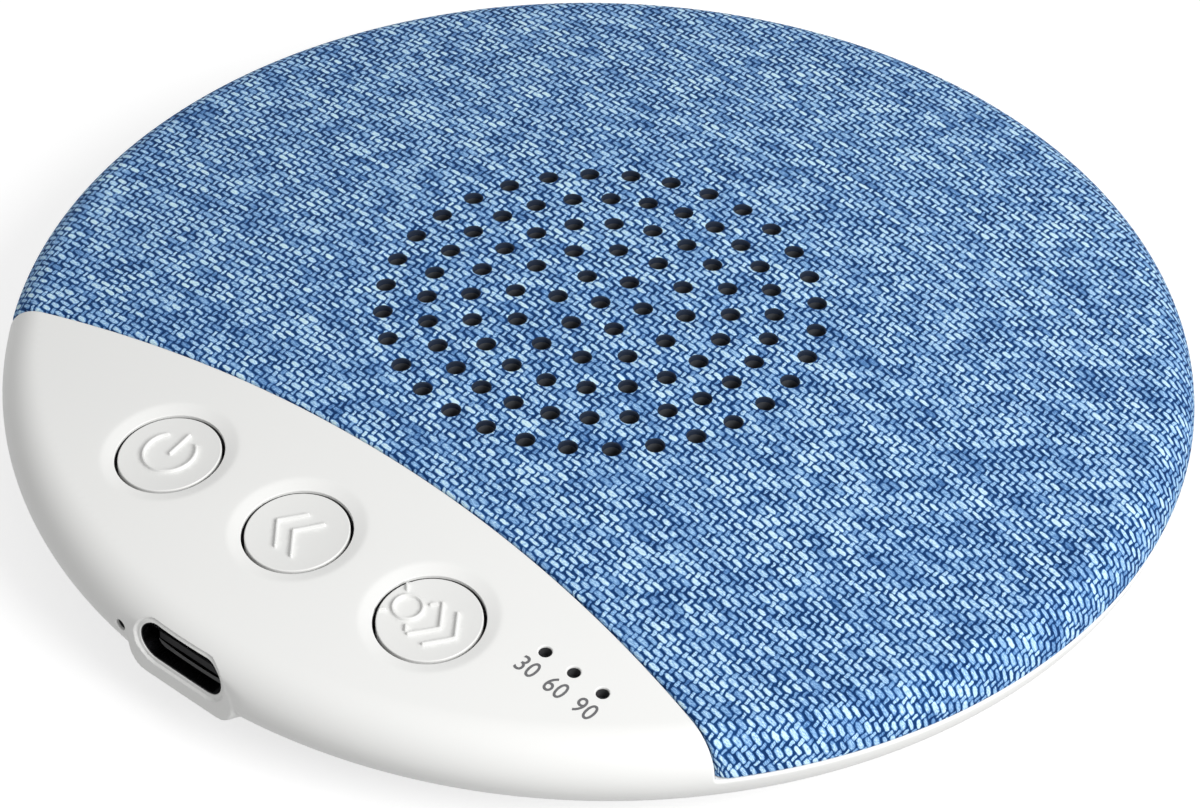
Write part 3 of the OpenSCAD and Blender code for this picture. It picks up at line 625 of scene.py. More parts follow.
@dataclass
class Housing:
    """The white moulding: bowl, rim, crescent deck, wells and charging port."""

    wall: float = 1.8
    seam_roll: float = 0.3
    rim_top: float = 8.05
    deck_roll: float = 0.22
    well_roll: float = 0.08
    lip: float = 1.4
    lip_z: float = 8.9
    boss_z: float = 9.987
    boss_r: float = 6.63
    cover_gap_r: float = 33.15
    floor_z: float = 2.5
    floor_top: float = 4.0
    opening_r: float = 27.5
    cover_roll: float = 0.2
    rim_depth: float = 1.5
    rim_back: float = 0.15
    lamp_roll: float = 0.12
    lamp_low: float = 10.9
    slot_roll: float = 0.1
    pin_roll: float = 0.06
    front_depth: float = 1.1
    top_z: float = 11.0
    dish_crease: float = 0.05
    dish_fade: float = 1.2
    front_y: float = -44.0
    front_half: float = 12.0
    front_z: tuple[float, float] = (2.5, 12.6)
    face_crease: float = 0.12
    pad_in: float = 0.09
    pad_w: float = 12.0
    pad_low: float = 4.7
    pad_high: float = 9.4
    pad_corner: float = 2.0
    pad_blend: float = 0.5
    recess: float = 0.26
    recess_step: float = 0.24
    pin_lead: float = 0.12

    def relief(self, p: np.ndarray, n: np.ndarray) -> np.ndarray:
        """Moves points of the plain body onto the dishes, the port pad and its chamfer.

        Args:
            p: Points of the plain body, one per row.
            n: Outward directions there.

        Returns:
            The moved points.
        """
        p = p.copy()
        for cx, cy in DECK.buttons:
            d = np.hypot(p[:, 0] - cx, p[:, 1] - cy)
            slope = DECK.dish_depth * (DECK.dish_r - d) / (DECK.dish_r - DECK.well_r)
            depth = soft_max(slope, np.zeros_like(slope), self.dish_crease)
            end = DECK.dish_r + self.dish_fade
            depth = np.where(d < end, depth * ease((end - d) / (self.dish_fade / 2)), 0)
            p -= n * np.where(p[:, 2] > self.top_z, depth, 0)[:, None]
        x, y, z = p.T
        near = (y < self.front_y) & (np.abs(x) < self.front_half)
        near &= (z > self.front_z[0]) & (z < self.front_z[1])
        if near.any():
            x, y, z = p[near].T
            flat = soft_max(y, np.full_like(y, DECK.face_y), self.face_crease)
            qx = np.abs(x) - (self.pad_w / 2 - self.pad_corner)
            qz = np.abs(z - (self.pad_high + self.pad_low) / 2)
            qz = qz - ((self.pad_high - self.pad_low) / 2 - self.pad_corner)
            away = np.hypot(np.maximum(qx, 0), np.maximum(qz, 0))
            away = away + np.minimum(np.maximum(qx, qz), 0) - self.pad_corner
            pad_y = np.full_like(flat, -DECK.face_y - self.pad_in)
            filled = -soft_max(-flat, pad_y, self.face_crease)
            face = flat + (filled - flat) * ease(0.5 - away / self.pad_blend)
            beside = np.maximum(np.abs(x) - (DECK.slot_w - DECK.slot_h) / 2, 0)
            gone = np.hypot(beside, z - DECK.port_z) - DECK.slot_h / 2
            ring_end = DECK.chamfer + self.recess_step / 2
            face = face + self.recess * ease((ring_end - gone) / self.recess_step)
            hole = np.hypot(x - DECK.pin_x, z - DECK.pin_z) - DECK.pin_r
            lead = soft_max(face, face + self.pin_lead - hole, self.dish_crease)
            p[near, 1] = np.where(hole < DECK.pin_r, lead, face)
        return p

    def place(self, plan: np.ndarray) -> np.ndarray:
        """Where plan points lie on the finished outer surface."""
        return self.relief(*BODY.lift(plan))

    def opening(self, skin: Skin, edge: Opening, ids: np.ndarray, normals: np.ndarray,
                inner: np.ndarray) -> None:
        """Rounds one opening's edge and carries its wall to the inner surface; where the opening is
        dark, the wall below its white band gets painted shade.

        Args:
            skin: The skin that is being built.
            edge: The opening.
            ids: Numbers of the outer outline's points.
            normals: Normals of all outer points.
            inner: Numbers of the inner outline's points.
        """
        start = np.concatenate(skin.points)[ids]
        n, w = normals[ids], edge.wall
        rows = roll(start, n, w, edge.roll, edge.steps)
        # The wall stays white down to pale; below that it may get painted shade
        if edge.pale:
            q = rows[-1][0]
            rows.append((q + unit(edge.deep(q) - q) * edge.pale, w))
        first = len(skin.faces) + len(rows) * len(ids)
        rows.append((edge.deep(rows[-1][0]), w))
        rows += [(row(rows[-1][0]), None) for row in edge.more]
        skin.rows(ids, rows, n, edge.plan, edge.out, inner)
        # Painted shade on the wall below its white band
        if edge.dark:
            skin.mark(first)

    def bottom(self) -> Opening:
        """Opening for the base cover, the outer limit of the plan.

        Returns:
            The opening.
        """
        count = 300
        end_s, end_r = float(BODY.table[-1, 0]), float(BODY.table[-1, 1])
        outer = circle((0, 0), end_s - (self.cover_gap_r + self.cover_roll - end_r), count)
        radial = unit(outer)
        rows = [np.column_stack([radial * r, np.full(count, z)]) for r, z in (
            (self.cover_gap_r, self.floor_z), (self.opening_r, self.floor_z),
            (self.opening_r, self.floor_top))]
        deep, *more = [lambda q, row=row: row for row in rows]
        inner = circle((0, 0), float(BODY.s_of_z(self.floor_z + 0.1)), count)
        return Opening(outer, np.column_stack([-radial, np.zeros(count)]), self.cover_roll, 3,
                       radial, deep, inner, more)

    def rear_line(self) -> tuple[np.ndarray, np.ndarray]:
        """Outline along the deck's rear edge and the seam, with its shares."""
        s_seam = float(BODY.s_of_z(self.rim_top - self.seam_roll))
        return edge_loop(self.deck_roll, 1, 0.0, s_seam)

    def rear(self) -> Opening:
        """Opening for the grille cap, from the deck's rear edge round to the seam.

        Returns:
            The opening.
        """
        loop, share = self.rear_line()
        share = share[:, None]
        p, n = BODY.lift(loop)
        deck_wall = np.column_stack([unit(p[:, :2] - DECK.arc_centre), np.zeros(len(p))])
        wall = np.where(share < 0.5, deck_wall * (1 - 2 * share), 0)
        wall = wall + np.where(share > 0.5, UP * (2 * share - 1), 0)
        across = unit(np.cross(n, np.roll(p, -1, 0) - np.roll(p, 1, 0)))
        wall = unit(wall + across * (1 - np.abs(2 * share - 1)))
        radius = self.deck_roll + (self.seam_roll - self.deck_roll) * share
        drop = unit(-n + (n * wall).sum(1)[:, None] * wall)
        back = self.lip + (self.rim_back - self.lip) * share

        def lip_foot(q: np.ndarray) -> np.ndarray:
            """Foot of the lip, or the inner side of the rim's top."""
            far = np.maximum(q[:, 2] - self.lip_z, 1.3)[:, None]
            return q + drop * (far * (1 - share) + self.rim_depth * share)

        inner = loop + outward(loop) * (self.rim_depth + (0.2 - self.rim_depth) * share)
        return Opening(loop, wall, radius, 4, -outward(loop), lip_foot, inner,
                       [lambda q: q - wall * back])

    def wells(self) -> list[Opening]:
        """Button wells and timer light holes, all open upwards, their walls painted near-black as
        shade below a white band.

        Returns:
            The openings.
        """
        edges = []
        # pale: depth of the white band above the painted shade on each wall
        for group, r, rho, count, low, keep_out, flange, pale in (
                (DECK.buttons, DECK.well_r, self.well_roll, 96, self.boss_z, self.boss_r,
                 True, 0.22),
                (DECK.lamps, DECK.lamp_r, self.lamp_roll, 28, self.lamp_low, DECK.lamp_r + 0.2,
                 False, 0.1)):
            for centre in group:
                ring = circle(centre, r, count)
                wall = np.column_stack([-unit(ring - centre), np.zeros(count)])
                plan = seat(self.place, ring, wall, rho, (0, 1), BODY.plan_of_top)
                deep, foot = [lambda q, row=np.column_stack([line, np.full(count, low)]): row
                              for line in (ring, circle(centre, keep_out, count))]
                inner = BODY.plan_of_top(circle(centre, keep_out + 0.1, count))
                edges.append(Opening(plan, wall, rho, 4, -outward(plan), deep, inner,
                                     [foot] if flange else [], pale, True))
        return edges

    def front(self) -> list[Opening]:
        """Charging slot and pinhole, both open to the front, their walls painted near-black as
        shade, the pinhole's below a white band.

        Returns:
            The openings.
        """
        edges = []
        slot = stadium(DECK.slot_w, DECK.slot_h, 0, 20) + [0, DECK.port_z]
        pin = circle((DECK.pin_x, DECK.pin_z), DECK.pin_r, 28)
        # pale: depth of the white band above the painted shade; the slot has none
        for ring, rho, grow, pale in ((slot, self.slot_roll, 0.5, 0.0),
                                      (pin, self.pin_roll, 0.15, 0.2)):
            out = outward(ring)
            wall = np.column_stack([-out[:, 0], np.zeros(len(ring)), -out[:, 1]])
            plan = seat(self.place, ring, wall, rho, (0, 2), BODY.plan_of_front)
            edges.append(Opening(
                plan, wall, rho, 3, np.zeros_like(plan),
                lambda q, ring=ring: np.column_stack(
                    [ring[:, 0], q[:, 1] + self.front_depth, ring[:, 1]]),
                BODY.plan_of_front(ring + out * grow), (), pale, True))
        return edges

    def build(self) -> bpy.types.Object:
        """Makes the housing's closed skin.

        Returns:
            The housing.
        """
        edges = [self.bottom(), self.rear(), *self.wells(), *self.front()]
        points, faces = fill([edge.plan for edge in edges], self.outer_points())
        placed, normals = self.place(points), surface_normals(self.place, points)
        skin = Skin()
        ids = skin.add(placed, points)
        skin.patch(ids, faces, normals)
        plan_in, faces_in = fill([edge.inner for edge in edges], self.inner_points())
        base, n = BODY.lift(plan_in)
        inner_ids = skin.add(base - self.wall * n, plan_in)
        skin.patch(inner_ids, faces_in, -n, flip=True)
        at = 0
        for edge in edges:
            end = at + len(edge.plan)
            self.opening(skin, edge, ids[at:end], normals, inner_ids[at:end])
            at = end
        return skin.build("housing_shell")

    def outer_points(self) -> list[PointSet]:
        """Points for the outer surface, the closest spaced first.

        Returns:
            Sets of points, each with its least distance to those before it.
        """
        fine = []
        for centre in DECK.buttons:
            fine += [BODY.plan_of_top(circle(centre, DECK.well_r + d, 96, d))
                     for d in (0.32, 0.46, 0.62, 0.78, 0.92, 1.02, 1.12, 1.24, 1.4, 1.65)]
        for centre in DECK.lamps:
            fine += [BODY.plan_of_top(circle(centre, DECK.lamp_r + d, 28, d)) for d in (0.24, 0.45)]
        for grow in (0.12, 0.2, 0.26, 0.31, 0.36, 0.41, 0.46, 0.51, 0.57, 0.65, 0.8):
            ring = stadium(DECK.slot_w, DECK.slot_h, grow, 28)
            fine.append(BODY.plan_of_front(ring + [0, DECK.port_z]))
        fine += [BODY.plan_of_front(circle((DECK.pin_x, DECK.pin_z), DECK.pin_r + d, 28, d))
                 for d in (0.12, 0.2, 0.3, 0.45)]
        pitch = 0.16
        x, z = np.meshgrid(np.arange(-8.4, 8.41, pitch), np.arange(3.6, 12.2, pitch))
        x, z = x.ravel(), z.ravel()
        port = BODY.plan_of_front(np.column_stack([x + pitch / 2 * (np.round(z / pitch) % 2), z]))
        s = [46.6]
        while s[-1] < BODY.table[-1, 0]:
            away = abs(s[-1] - BODY.seam_s)
            s.append(s[-1] + min(0.34 + 0.075 * max(0, away - 4.5), 1.5))
        loop, share = self.rear_line()
        deck, out = loop[share < 0.02], outward(loop)[share < 0.02]
        return [(np.concatenate(fine), 0.018), (port, 0.09),
                (np.concatenate([deck + out * d for d in (0.25, 0.6)]), 0.15),
                (rings(s[1:], 1.0), 0.22), (lattice(50, 1.0), 0.6)]

    def inner_points(self) -> list[PointSet]:
        """Points for the inner surface."""
        return [(rings(np.arange(20, 70, 1.5), 2.4), 0.7)]


# ------------------------------------------------------------------ cloth

@dataclass
class Cloth:
    """The cloth over the grille cap, pierced by the sound holes and turned under its edge."""

    thick: float = 0.6
    gap: float = 0.15
    edge_roll: float = 0.35
    hem_roll: float = 0.28
    hem: float = 1.7
    hem_z: float = 8.2
    hole_r: float = 0.75
    hole_roll: float = 0.14
    hole_points: int = 20
    hole_pitch: float = 3.7
    ring_holes: tuple[int, ...] = (6, 12, 20, 28, 32)
    holes_end: float = 22.0
    dimple: float = 0.1
    dimple_w: float = 0.45
    edge_z: float = 10.2
    inner_z: float = 9.4
    inset: float = 0.02

    def holes(self) -> np.ndarray:
        """Centres of the sound holes.

        Returns:
            The centres seen from above, one per row.
        """
        spots = [np.zeros((1, 2))]
        spots += [circle((0, 0), self.hole_pitch * k, n, math.pi / 2)
                  for k, n in enumerate(self.ring_holes, 1)]
        return np.concatenate(spots)

    def place(self, plan: np.ndarray) -> np.ndarray:
        """Where plan points lie on the cloth's outside.

        Args:
            plan: Plan points, one per row.

        Returns:
            Their places in space.
        """
        p, n = BODY.lift(plan)
        near = np.hypot(p[:, 0], p[:, 1]) < self.holes_end
        if near.any():
            spots = self.holes()
            d = np.sqrt(((p[near, None, :2] - spots[None]) ** 2).sum(2)).min(1)
            depth = self.dimple * np.exp(-((d - self.hole_r) / self.dimple_w) ** 2)
            p[near] -= n[near] * depth[:, None]
        return p

    def outline(self) -> tuple[np.ndarray, np.ndarray]:
        """The cloth's outer outline on the plan, with its shares."""
        return edge_loop(self.edge_roll, -1, self.gap, float(BODY.s_of_z(self.edge_z)))

    def build(self) -> bpy.types.Object:
        """Makes the cloth's closed skin with its flat plan.

        Returns:
            The cloth, with the flat plan as its UV map.
        """
        loop, share = self.outline()
        share = share[:, None]
        holes = []
        for centre in self.holes():
            ring = circle(centre, self.hole_r, self.hole_points)
            wall = np.column_stack([-unit(ring - centre), np.zeros(self.hole_points)])
            plan = BODY.plan_of_top(ring - self.hole_roll * 0.8 * wall[:, :2])
            holes.append((plan, ring, wall))
        loops = [loop] + [h[0] for h in holes]
        points, faces = fill(loops, self.points(loop))
        placed, normals = self.place(points), surface_normals(self.place, points)
        skin = Skin()
        ids = skin.add(placed, points)
        skin.patch(ids, faces, normals)
        # Inside face, with the same openings
        s_in = float(BODY.s_of_z(self.inner_z))
        in_loop, _ = edge_loop(self.thick, -1, self.gap + self.thick, s_in)
        in_loops = [in_loop] + [BODY.plan_of_top(h[1]) for h in holes]
        plan_in, faces_in = fill(in_loops, [(lattice(50, 2.2), 0.7)])
        base, n = BODY.lift(plan_in)
        inner_ids = skin.add(base - self.thick * n, plan_in)
        skin.patch(inner_ids, faces_in, -n, flip=True)
        # Edge: down the side of the deck or down the shoulder, round and under
        p, n = placed[:len(loop)], normals[:len(loop)]
        toward = np.column_stack([unit(DECK.arc_centre - p[:, :2]), np.zeros(len(p))])
        out = outward(loop)
        side_rows = roll(p, n, toward, self.edge_roll, 5)
        foot = side_rows[-1][0].copy()
        foot[:, 2] = self.hem_z + self.hem_roll
        side_rows.append((foot, toward))
        s0 = np.hypot(loop[:, 0], loop[:, 1])
        s1 = float(BODY.s_of_z(self.hem_z + self.hem_roll))
        rows = []
        for k, (q, nq) in enumerate(side_rows):
            s = s0 + (s1 - s0) * (k + 1) / len(side_rows)
            body_p, body_n = BODY.lift(unit(loop) * s[:, None])
            rows.append((q * (1 - share) + body_p * share, unit(nq * (1 - share) + body_n * share)))
        q, facing = rows[-1]
        facing = unit(facing * [1, 1, 0])
        down = np.tile(-UP, (len(q), 1))
        rows += roll(q, facing, down, self.hem_roll, 3)
        q = rows[-1][0]
        inward = self.hem - self.hem_roll + self.thick
        rows.append((q - facing * inward, down))
        up = UP * (self.thick - self.inset)
        rows.append((rows[-1][0] + up, None))
        rows.append((q - facing * (self.thick - self.hem_roll + self.inset) + up, None))
        skin.rows(ids[:len(loop)], rows, n, loop, out, inner_ids[:len(loop)])
        at = len(loop)
        for plan, ring, wall in holes:
            end = at + self.hole_points
            start, n = placed[at:end], normals[at:end]
            steps, first = [], len(skin.faces)
            for k in (1, 2, 3):
                a = k / 3 * math.pi / 2
                xy = start[:, :2] + (ring - start[:, :2]) * math.sin(a)
                z = start[:, 2] - self.hole_roll * (1 - math.cos(a))
                steps.append((np.column_stack([xy, z]), turn(n, wall, k / 3)))
            skin.rows(ids[at:end], steps, n, plan, -outward(plan), inner_ids[at:end])
            skin.mark(first)
            at = end
        return skin.build("cloth_cover", with_plan=True)

    def flat(self) -> tuple[float, float, float]:
        """Width, length and area of the cut cloth, with its hem and without the holes.

        Returns:
            The width, the length and the area.
        """
        loop, share = self.outline()
        drop = float(BODY.s_of_z(self.hem_z)) - float(BODY.s_of_z(self.edge_z))
        side = (11.6 - self.hem_z) * (1 - share)
        cut_line = loop + outward(loop) * (self.hem + drop * share + side)[:, None]
        x, y = cut_line.T
        area = abs(float((x * np.roll(y, -1) - y * np.roll(x, -1)).sum())) / 2
        holes = len(self.holes()) * math.pi * self.hole_r ** 2
        return float(np.ptp(x)), float(np.ptp(y)), area - holes

    def points(self, loop: np.ndarray) -> list[PointSet]:
        """Points for the cloth's outside.

        Args:
            loop: The cloth's outer outline on the plan.

        Returns:
            Sets of points, each with its least distance to those before it.
        """
        fine = [BODY.plan_of_top(circle(c, self.hole_r + d, self.hole_points, d))
                for c in self.holes() for d in (0.42, 0.7)]
        s = np.arange(46.6, 53.5, 0.4)
        rows = [loop - outward(loop) * d for d in (0.3, 0.7)]
        return [(np.concatenate(fine), 0.1), (np.concatenate(rows), 0.2), (rings(s, 1.0), 0.25),
                (lattice(50, 1.1), 0.6)]


# ------------------------------------------------------------------ button caps

class Symbol(Enum):
    """Raised symbols on the caps."""

    POWER = "power"
    PREVIOUS = "previous"
    NEXT = "next"


def arc_line(centre: Sequence[float], radius: float, start: float, end: float) -> np.ndarray:
    """Points along an arc between two angles in degrees."""
    a = np.radians(np.linspace(start, end, max(3, int(abs(end - start) / 6))))
    return np.asarray(centre) + radius * np.stack([np.cos(a), np.sin(a)], 1)


def from_line(points: np.ndarray, line: np.ndarray) -> np.ndarray:
    """Distances of points from an open line of straight pieces.

    Args:
        points: The points, one per row.
        line: The line's corners, one per row.

    Returns:
        The distances.
    """
    best = np.full(len(points), np.inf)
    for a, b in zip(line[:-1], line[1:]):
        ab = b - a
        t = np.clip(((points - a) @ ab) / max(ab @ ab, 1e-12), 0, 1)[:, None]
        best = np.minimum(best, np.linalg.norm(points - a - t * ab, axis=1))
    return best


@dataclass
class ButtonCap:
    """One press button: a cap that follows the dome, with a raised symbol, a flange and a stem."""

    symbol: Symbol
    centre: tuple[float, float]
    radius: float = DECK.button_r
    edge: float = 0.11
    flange_r: float = 5.38
    flange_low: float = 9.287
    flange_top: float = 9.887
    hollow_r: float = 3.33
    crown_t: float = 1.4
    stem_r: float = 1.4
    stroke: float = 0.11
    tall: float = 0.31
    flank: float = 0.14
    drop: float = 0.32
    hollow: float = 0.22
    bevel: float = 0.12
    sides: int = 96

    def strokes(self) -> list[tuple[np.ndarray, float]]:
        """Centre lines of the symbol's strokes, from the cap's centre, with their half widths.

        Returns:
            Each stroke's line with its half width.
        """
        if self.symbol is Symbol.POWER:
            return [(arc_line((-0.15, 0.09), 2.22, 138, 417), self.stroke),
                    (np.array([(-0.05, 0.05), (-0.2, 2.5)]), self.stroke)]
        if self.symbol is Symbol.PREVIOUS:
            return [(np.array([(x + 1.55, 1.9), (x, -0.1), (x + 1.85, -2.25)]), self.stroke)
                    for x in (-2.19, -0.39)]
        sun = (-2.17, -0.25)
        rays = [(sun + np.array([[1.85], [2.35]]) * [math.cos(a), math.sin(a)], self.stroke)
                for a in np.radians((50, 135, 228, 309))]
        chevrons = [(np.array([(x - 1.6, 1.92), (x, -0.14), (x - 1.55, -2.24)]), self.stroke)
                    for x in (1.26, 2.91)]
        return [(arc_line(sun, 1.22, 0, 360), self.stroke)] + rays + chevrons

    def place(self, plan: np.ndarray) -> np.ndarray:
        """Where plan points lie on the cap's top, with the symbol raised on it.

        Args:
            plan: Plan points, one per row.

        Returns:
            Their places in space.
        """
        p, n = BODY.lift(plan)
        off = p[:, :2] - self.centre
        rise = np.zeros(len(p))
        for line, half in self.strokes():
            away = from_line(off, line) - half
            rise = np.maximum(rise, 1 - ease((away + self.flank / 2) / self.flank))
        out = np.linalg.norm(off, axis=1) / self.radius
        low = self.drop + self.hollow * np.maximum(1 - out ** 2, -0.1)
        return p + n * (self.tall * rise - low)[:, None]

    def top_points(self) -> list[PointSet]:
        """Points for the top, along the flanks of the strokes first.

        Returns:
            Sets of points, each with its least distance to those before it.
        """
        sides = []
        for line, half in self.strokes():
            length = np.concatenate([[0], np.cumsum(np.linalg.norm(np.diff(line, axis=0), axis=1))])
            t = np.linspace(0, length[-1], max(3, int(length[-1] / 0.14)))
            along = np.column_stack([np.interp(t, length, line[:, k]) for k in (0, 1)])
            for out in (-0.5, -0.17, 0.17, 0.5):
                reach = half + out * self.flank
                ring = np.concatenate([circle(p, reach, 20) for p in along])
                sides.append(ring[from_line(ring, line) > reach - 0.012])
        spread = lattice(6, 0.34)
        return [(BODY.plan_of_top(np.concatenate(sides) + self.centre), 0.055),
                (BODY.plan_of_top(spread[np.hypot(*spread.T) < self.radius] + self.centre), 0.2)]

    def build(self) -> bpy.types.Object:
        """Makes the cap's closed skin.

        Returns:
            The cap.
        """
        count, bevel = self.sides, self.bevel
        ring = circle(self.centre, self.radius, count)
        out = unit(ring - self.centre)
        wall = np.column_stack([out, np.zeros(count)])
        plan = seat(self.place, ring, wall, self.edge, (0, 1), BODY.plan_of_top)
        points, faces = fill([plan], self.top_points())
        placed, normals = self.place(points), surface_normals(self.place, points)
        skin = Skin()
        ids = skin.add(placed, points)
        skin.patch(ids, faces, normals)
        rows = roll(placed[:count], normals[:count], wall, self.edge, 5)
        roof = float(BODY.dome_z(math.hypot(*self.centre))) - self.crown_t
        low, top = self.flange_low, self.flange_top

        def ring_at(r: float, z: float) -> np.ndarray:
            """Row of points round the cap's own axis."""
            return np.column_stack([self.centre + out * r, np.full(count, z)])

        rows.append((ring_at(self.radius, top), wall))
        for r, z in ((self.flange_r - bevel, top), (self.flange_r, top - bevel),
                     (self.flange_r, low + bevel), (self.flange_r - bevel, low),
                     (self.hollow_r, low), (self.hollow_r, roof), (self.stem_r, roof),
                     (self.stem_r, low + bevel), (self.stem_r - bevel, low)):
            rows.append((ring_at(r, z), None))
        last = skin.rows(ids[:count], rows, normals[:count], plan, outward(plan))
        foot = skin.add(np.array([[*self.centre, low]]), np.array([self.centre]))
        fan = np.column_stack([last, np.roll(last, 1), np.full(count, foot[0])])
        skin.faces += fan.tolist()
        skin.normals.append(np.tile(-UP, (count * 3, 1)))
        return skin.build(f"{self.symbol.value}_cap")


# ------------------------------------------------------------------ pieces shaped from primitives

def select_faces(test: Callable[[Vector, Vector], bool]) -> None:
    """Selects the faces of the mesh in edit mode whose centre and normal pass a test.

    Args:
        test: Tells from a face's centre and normal whether it is wanted.
    """
    bpy.ops.mesh.select_mode(type="FACE")
    bpy.ops.mesh.select_all(action="DESELECT")
    mesh = bmesh.from_edit_mesh(bpy.context.object.data)
    for face in mesh.faces:
        face.select_set(test(face.calc_center_median(), face.normal))
    bmesh.update_edit_mesh(bpy.context.object.data)


def select_points(test: Callable[[Vector], bool]) -> None:
    """Selects the points of the mesh in edit mode whose place passes a test.

    Args:
        test: Tells from a point's place whether it is wanted.
    """
    bpy.ops.mesh.select_mode(type="VERT")
    bpy.ops.mesh.select_all(action="DESELECT")
    mesh = bmesh.from_edit_mesh(bpy.context.object.data)
    for point in mesh.verts:
        point.select_set(test(point.co))
    mesh.select_flush_mode()
    bmesh.update_edit_mesh(bpy.context.object.data)


def begin(add: Callable, name: str, **size: object) -> bpy.types.Object:
    """Starts a piece from a primitive, at its size and place, and opens it in edit mode.

    Args:
        add: The operator that adds the primitive.
        name: The piece's name.
        size: The operator's own sizes, in metres.

    Returns:
        The new object, in edit mode.
    """
    bpy.ops.object.select_all(action="DESELECT")
    add(**size)
    piece = bpy.context.object
    piece.name = piece.data.name = name
    bpy.ops.object.transform_apply(location=True, rotation=True, scale=True)
    bpy.ops.object.mode_set(mode="EDIT")
    bpy.ops.mesh.select_all(action="DESELECT")
    return piece


def rod(name: str, sides: int, radius: float, low: float, high: float, x: float = 0.0,
        y: float = 0.0) -> bpy.types.Object:
    """Starts a piece from an upright cylinder, in millimetres."""
    return begin(bpy.ops.mesh.primitive_cylinder_add, name, vertices=sides, radius=radius * MM,
                 depth=(high - low) * MM, location=(x * MM, y * MM, (high + low) / 2 * MM))


def block(name: str, size: Sequence[float], place: Sequence[float]) -> bpy.types.Object:
    """Starts a piece from a box of a size at a place, in millimetres."""
    return begin(bpy.ops.mesh.primitive_cube_add, name, size=1,
                 location=[value * MM for value in place], scale=[value * MM for value in size])


def sink(depth: float, inset: float) -> None:
    """Insets the selected face and moves the inner one upwards, in millimetres."""
    bpy.ops.mesh.inset(thickness=inset * MM)
    bpy.ops.transform.translate(value=(0, 0, depth * MM))


def soften(piece: bpy.types.Object, width: float, segments: int = 3,
           angle: float = 35) -> bpy.types.Object:
    """Rounds a piece's sharp edges and smooths its faces.

    Args:
        piece: The piece, in edit or object mode.
        width: Width of the rounding, in millimetres.
        segments: Number of steps across it.
        angle: Least angle in degrees at which an edge counts as sharp.

    Returns:
        The same piece, in object mode.
    """
    if bpy.context.object and bpy.context.object.mode == "EDIT":
        bpy.ops.object.mode_set(mode="OBJECT")
    bpy.ops.object.select_all(action="DESELECT")
    piece.select_set(True)
    bpy.context.view_layer.objects.active = piece
    bevel = piece.modifiers.new("rounding", "BEVEL")
    bevel.width, bevel.segments, bevel.limit_method = width * MM, segments, "ANGLE"
    bevel.angle_limit = math.radians(angle)
    bevel.use_clamp_overlap = True
    bpy.ops.object.modifier_apply(modifier=bevel.name)
    bpy.ops.object.shade_smooth_by_angle(angle=math.radians(32))
    return piece


def cut(piece: bpy.types.Object, cutters: Sequence[bpy.types.Object]) -> None:
    """Cuts the shapes of cutters out of a piece and deletes them.

    Args:
        piece: The piece, in object mode.
        cutters: The shapes to cut out.
    """
    for cutter in cutters:
        bpy.ops.object.select_all(action="DESELECT")
        piece.select_set(True)
        bpy.context.view_layer.objects.active = piece
        tool = piece.modifiers.new("cut", "BOOLEAN")
        tool.operation, tool.solver, tool.object = "DIFFERENCE", "EXACT", cutter
        bpy.ops.object.modifier_apply(modifier=tool.name)
        bpy.data.objects.remove(cutter)


def join(pieces: Sequence[bpy.types.Object]) -> bpy.types.Object:
    """Joins pieces into the first of them.

    Args:
        pieces: The pieces, in object mode.

    Returns:
        The first piece, which now holds them all.
    """
    bpy.ops.object.select_all(action="DESELECT")
    for piece in pieces:
        piece.select_set(True)
    bpy.context.view_layer.objects.active = pieces[0]
    bpy.ops.object.join()
    return pieces[0]


def copy_to(piece: bpy.types.Object, name: str, move: Matrix) -> bpy.types.Object:
    """Copies a piece with its own mesh, and moves the copy's mesh.

    Args:
        piece: The piece to copy.
        name: The copy's name.
        move: How the copy is turned or shifted.

    Returns:
        The copy.
    """
    twin = piece.copy()
    twin.data = piece.data.copy()
    twin.name = twin.data.name = name
    bpy.context.scene.collection.objects.link(twin)
    twin.data.transform(move)
    return twin


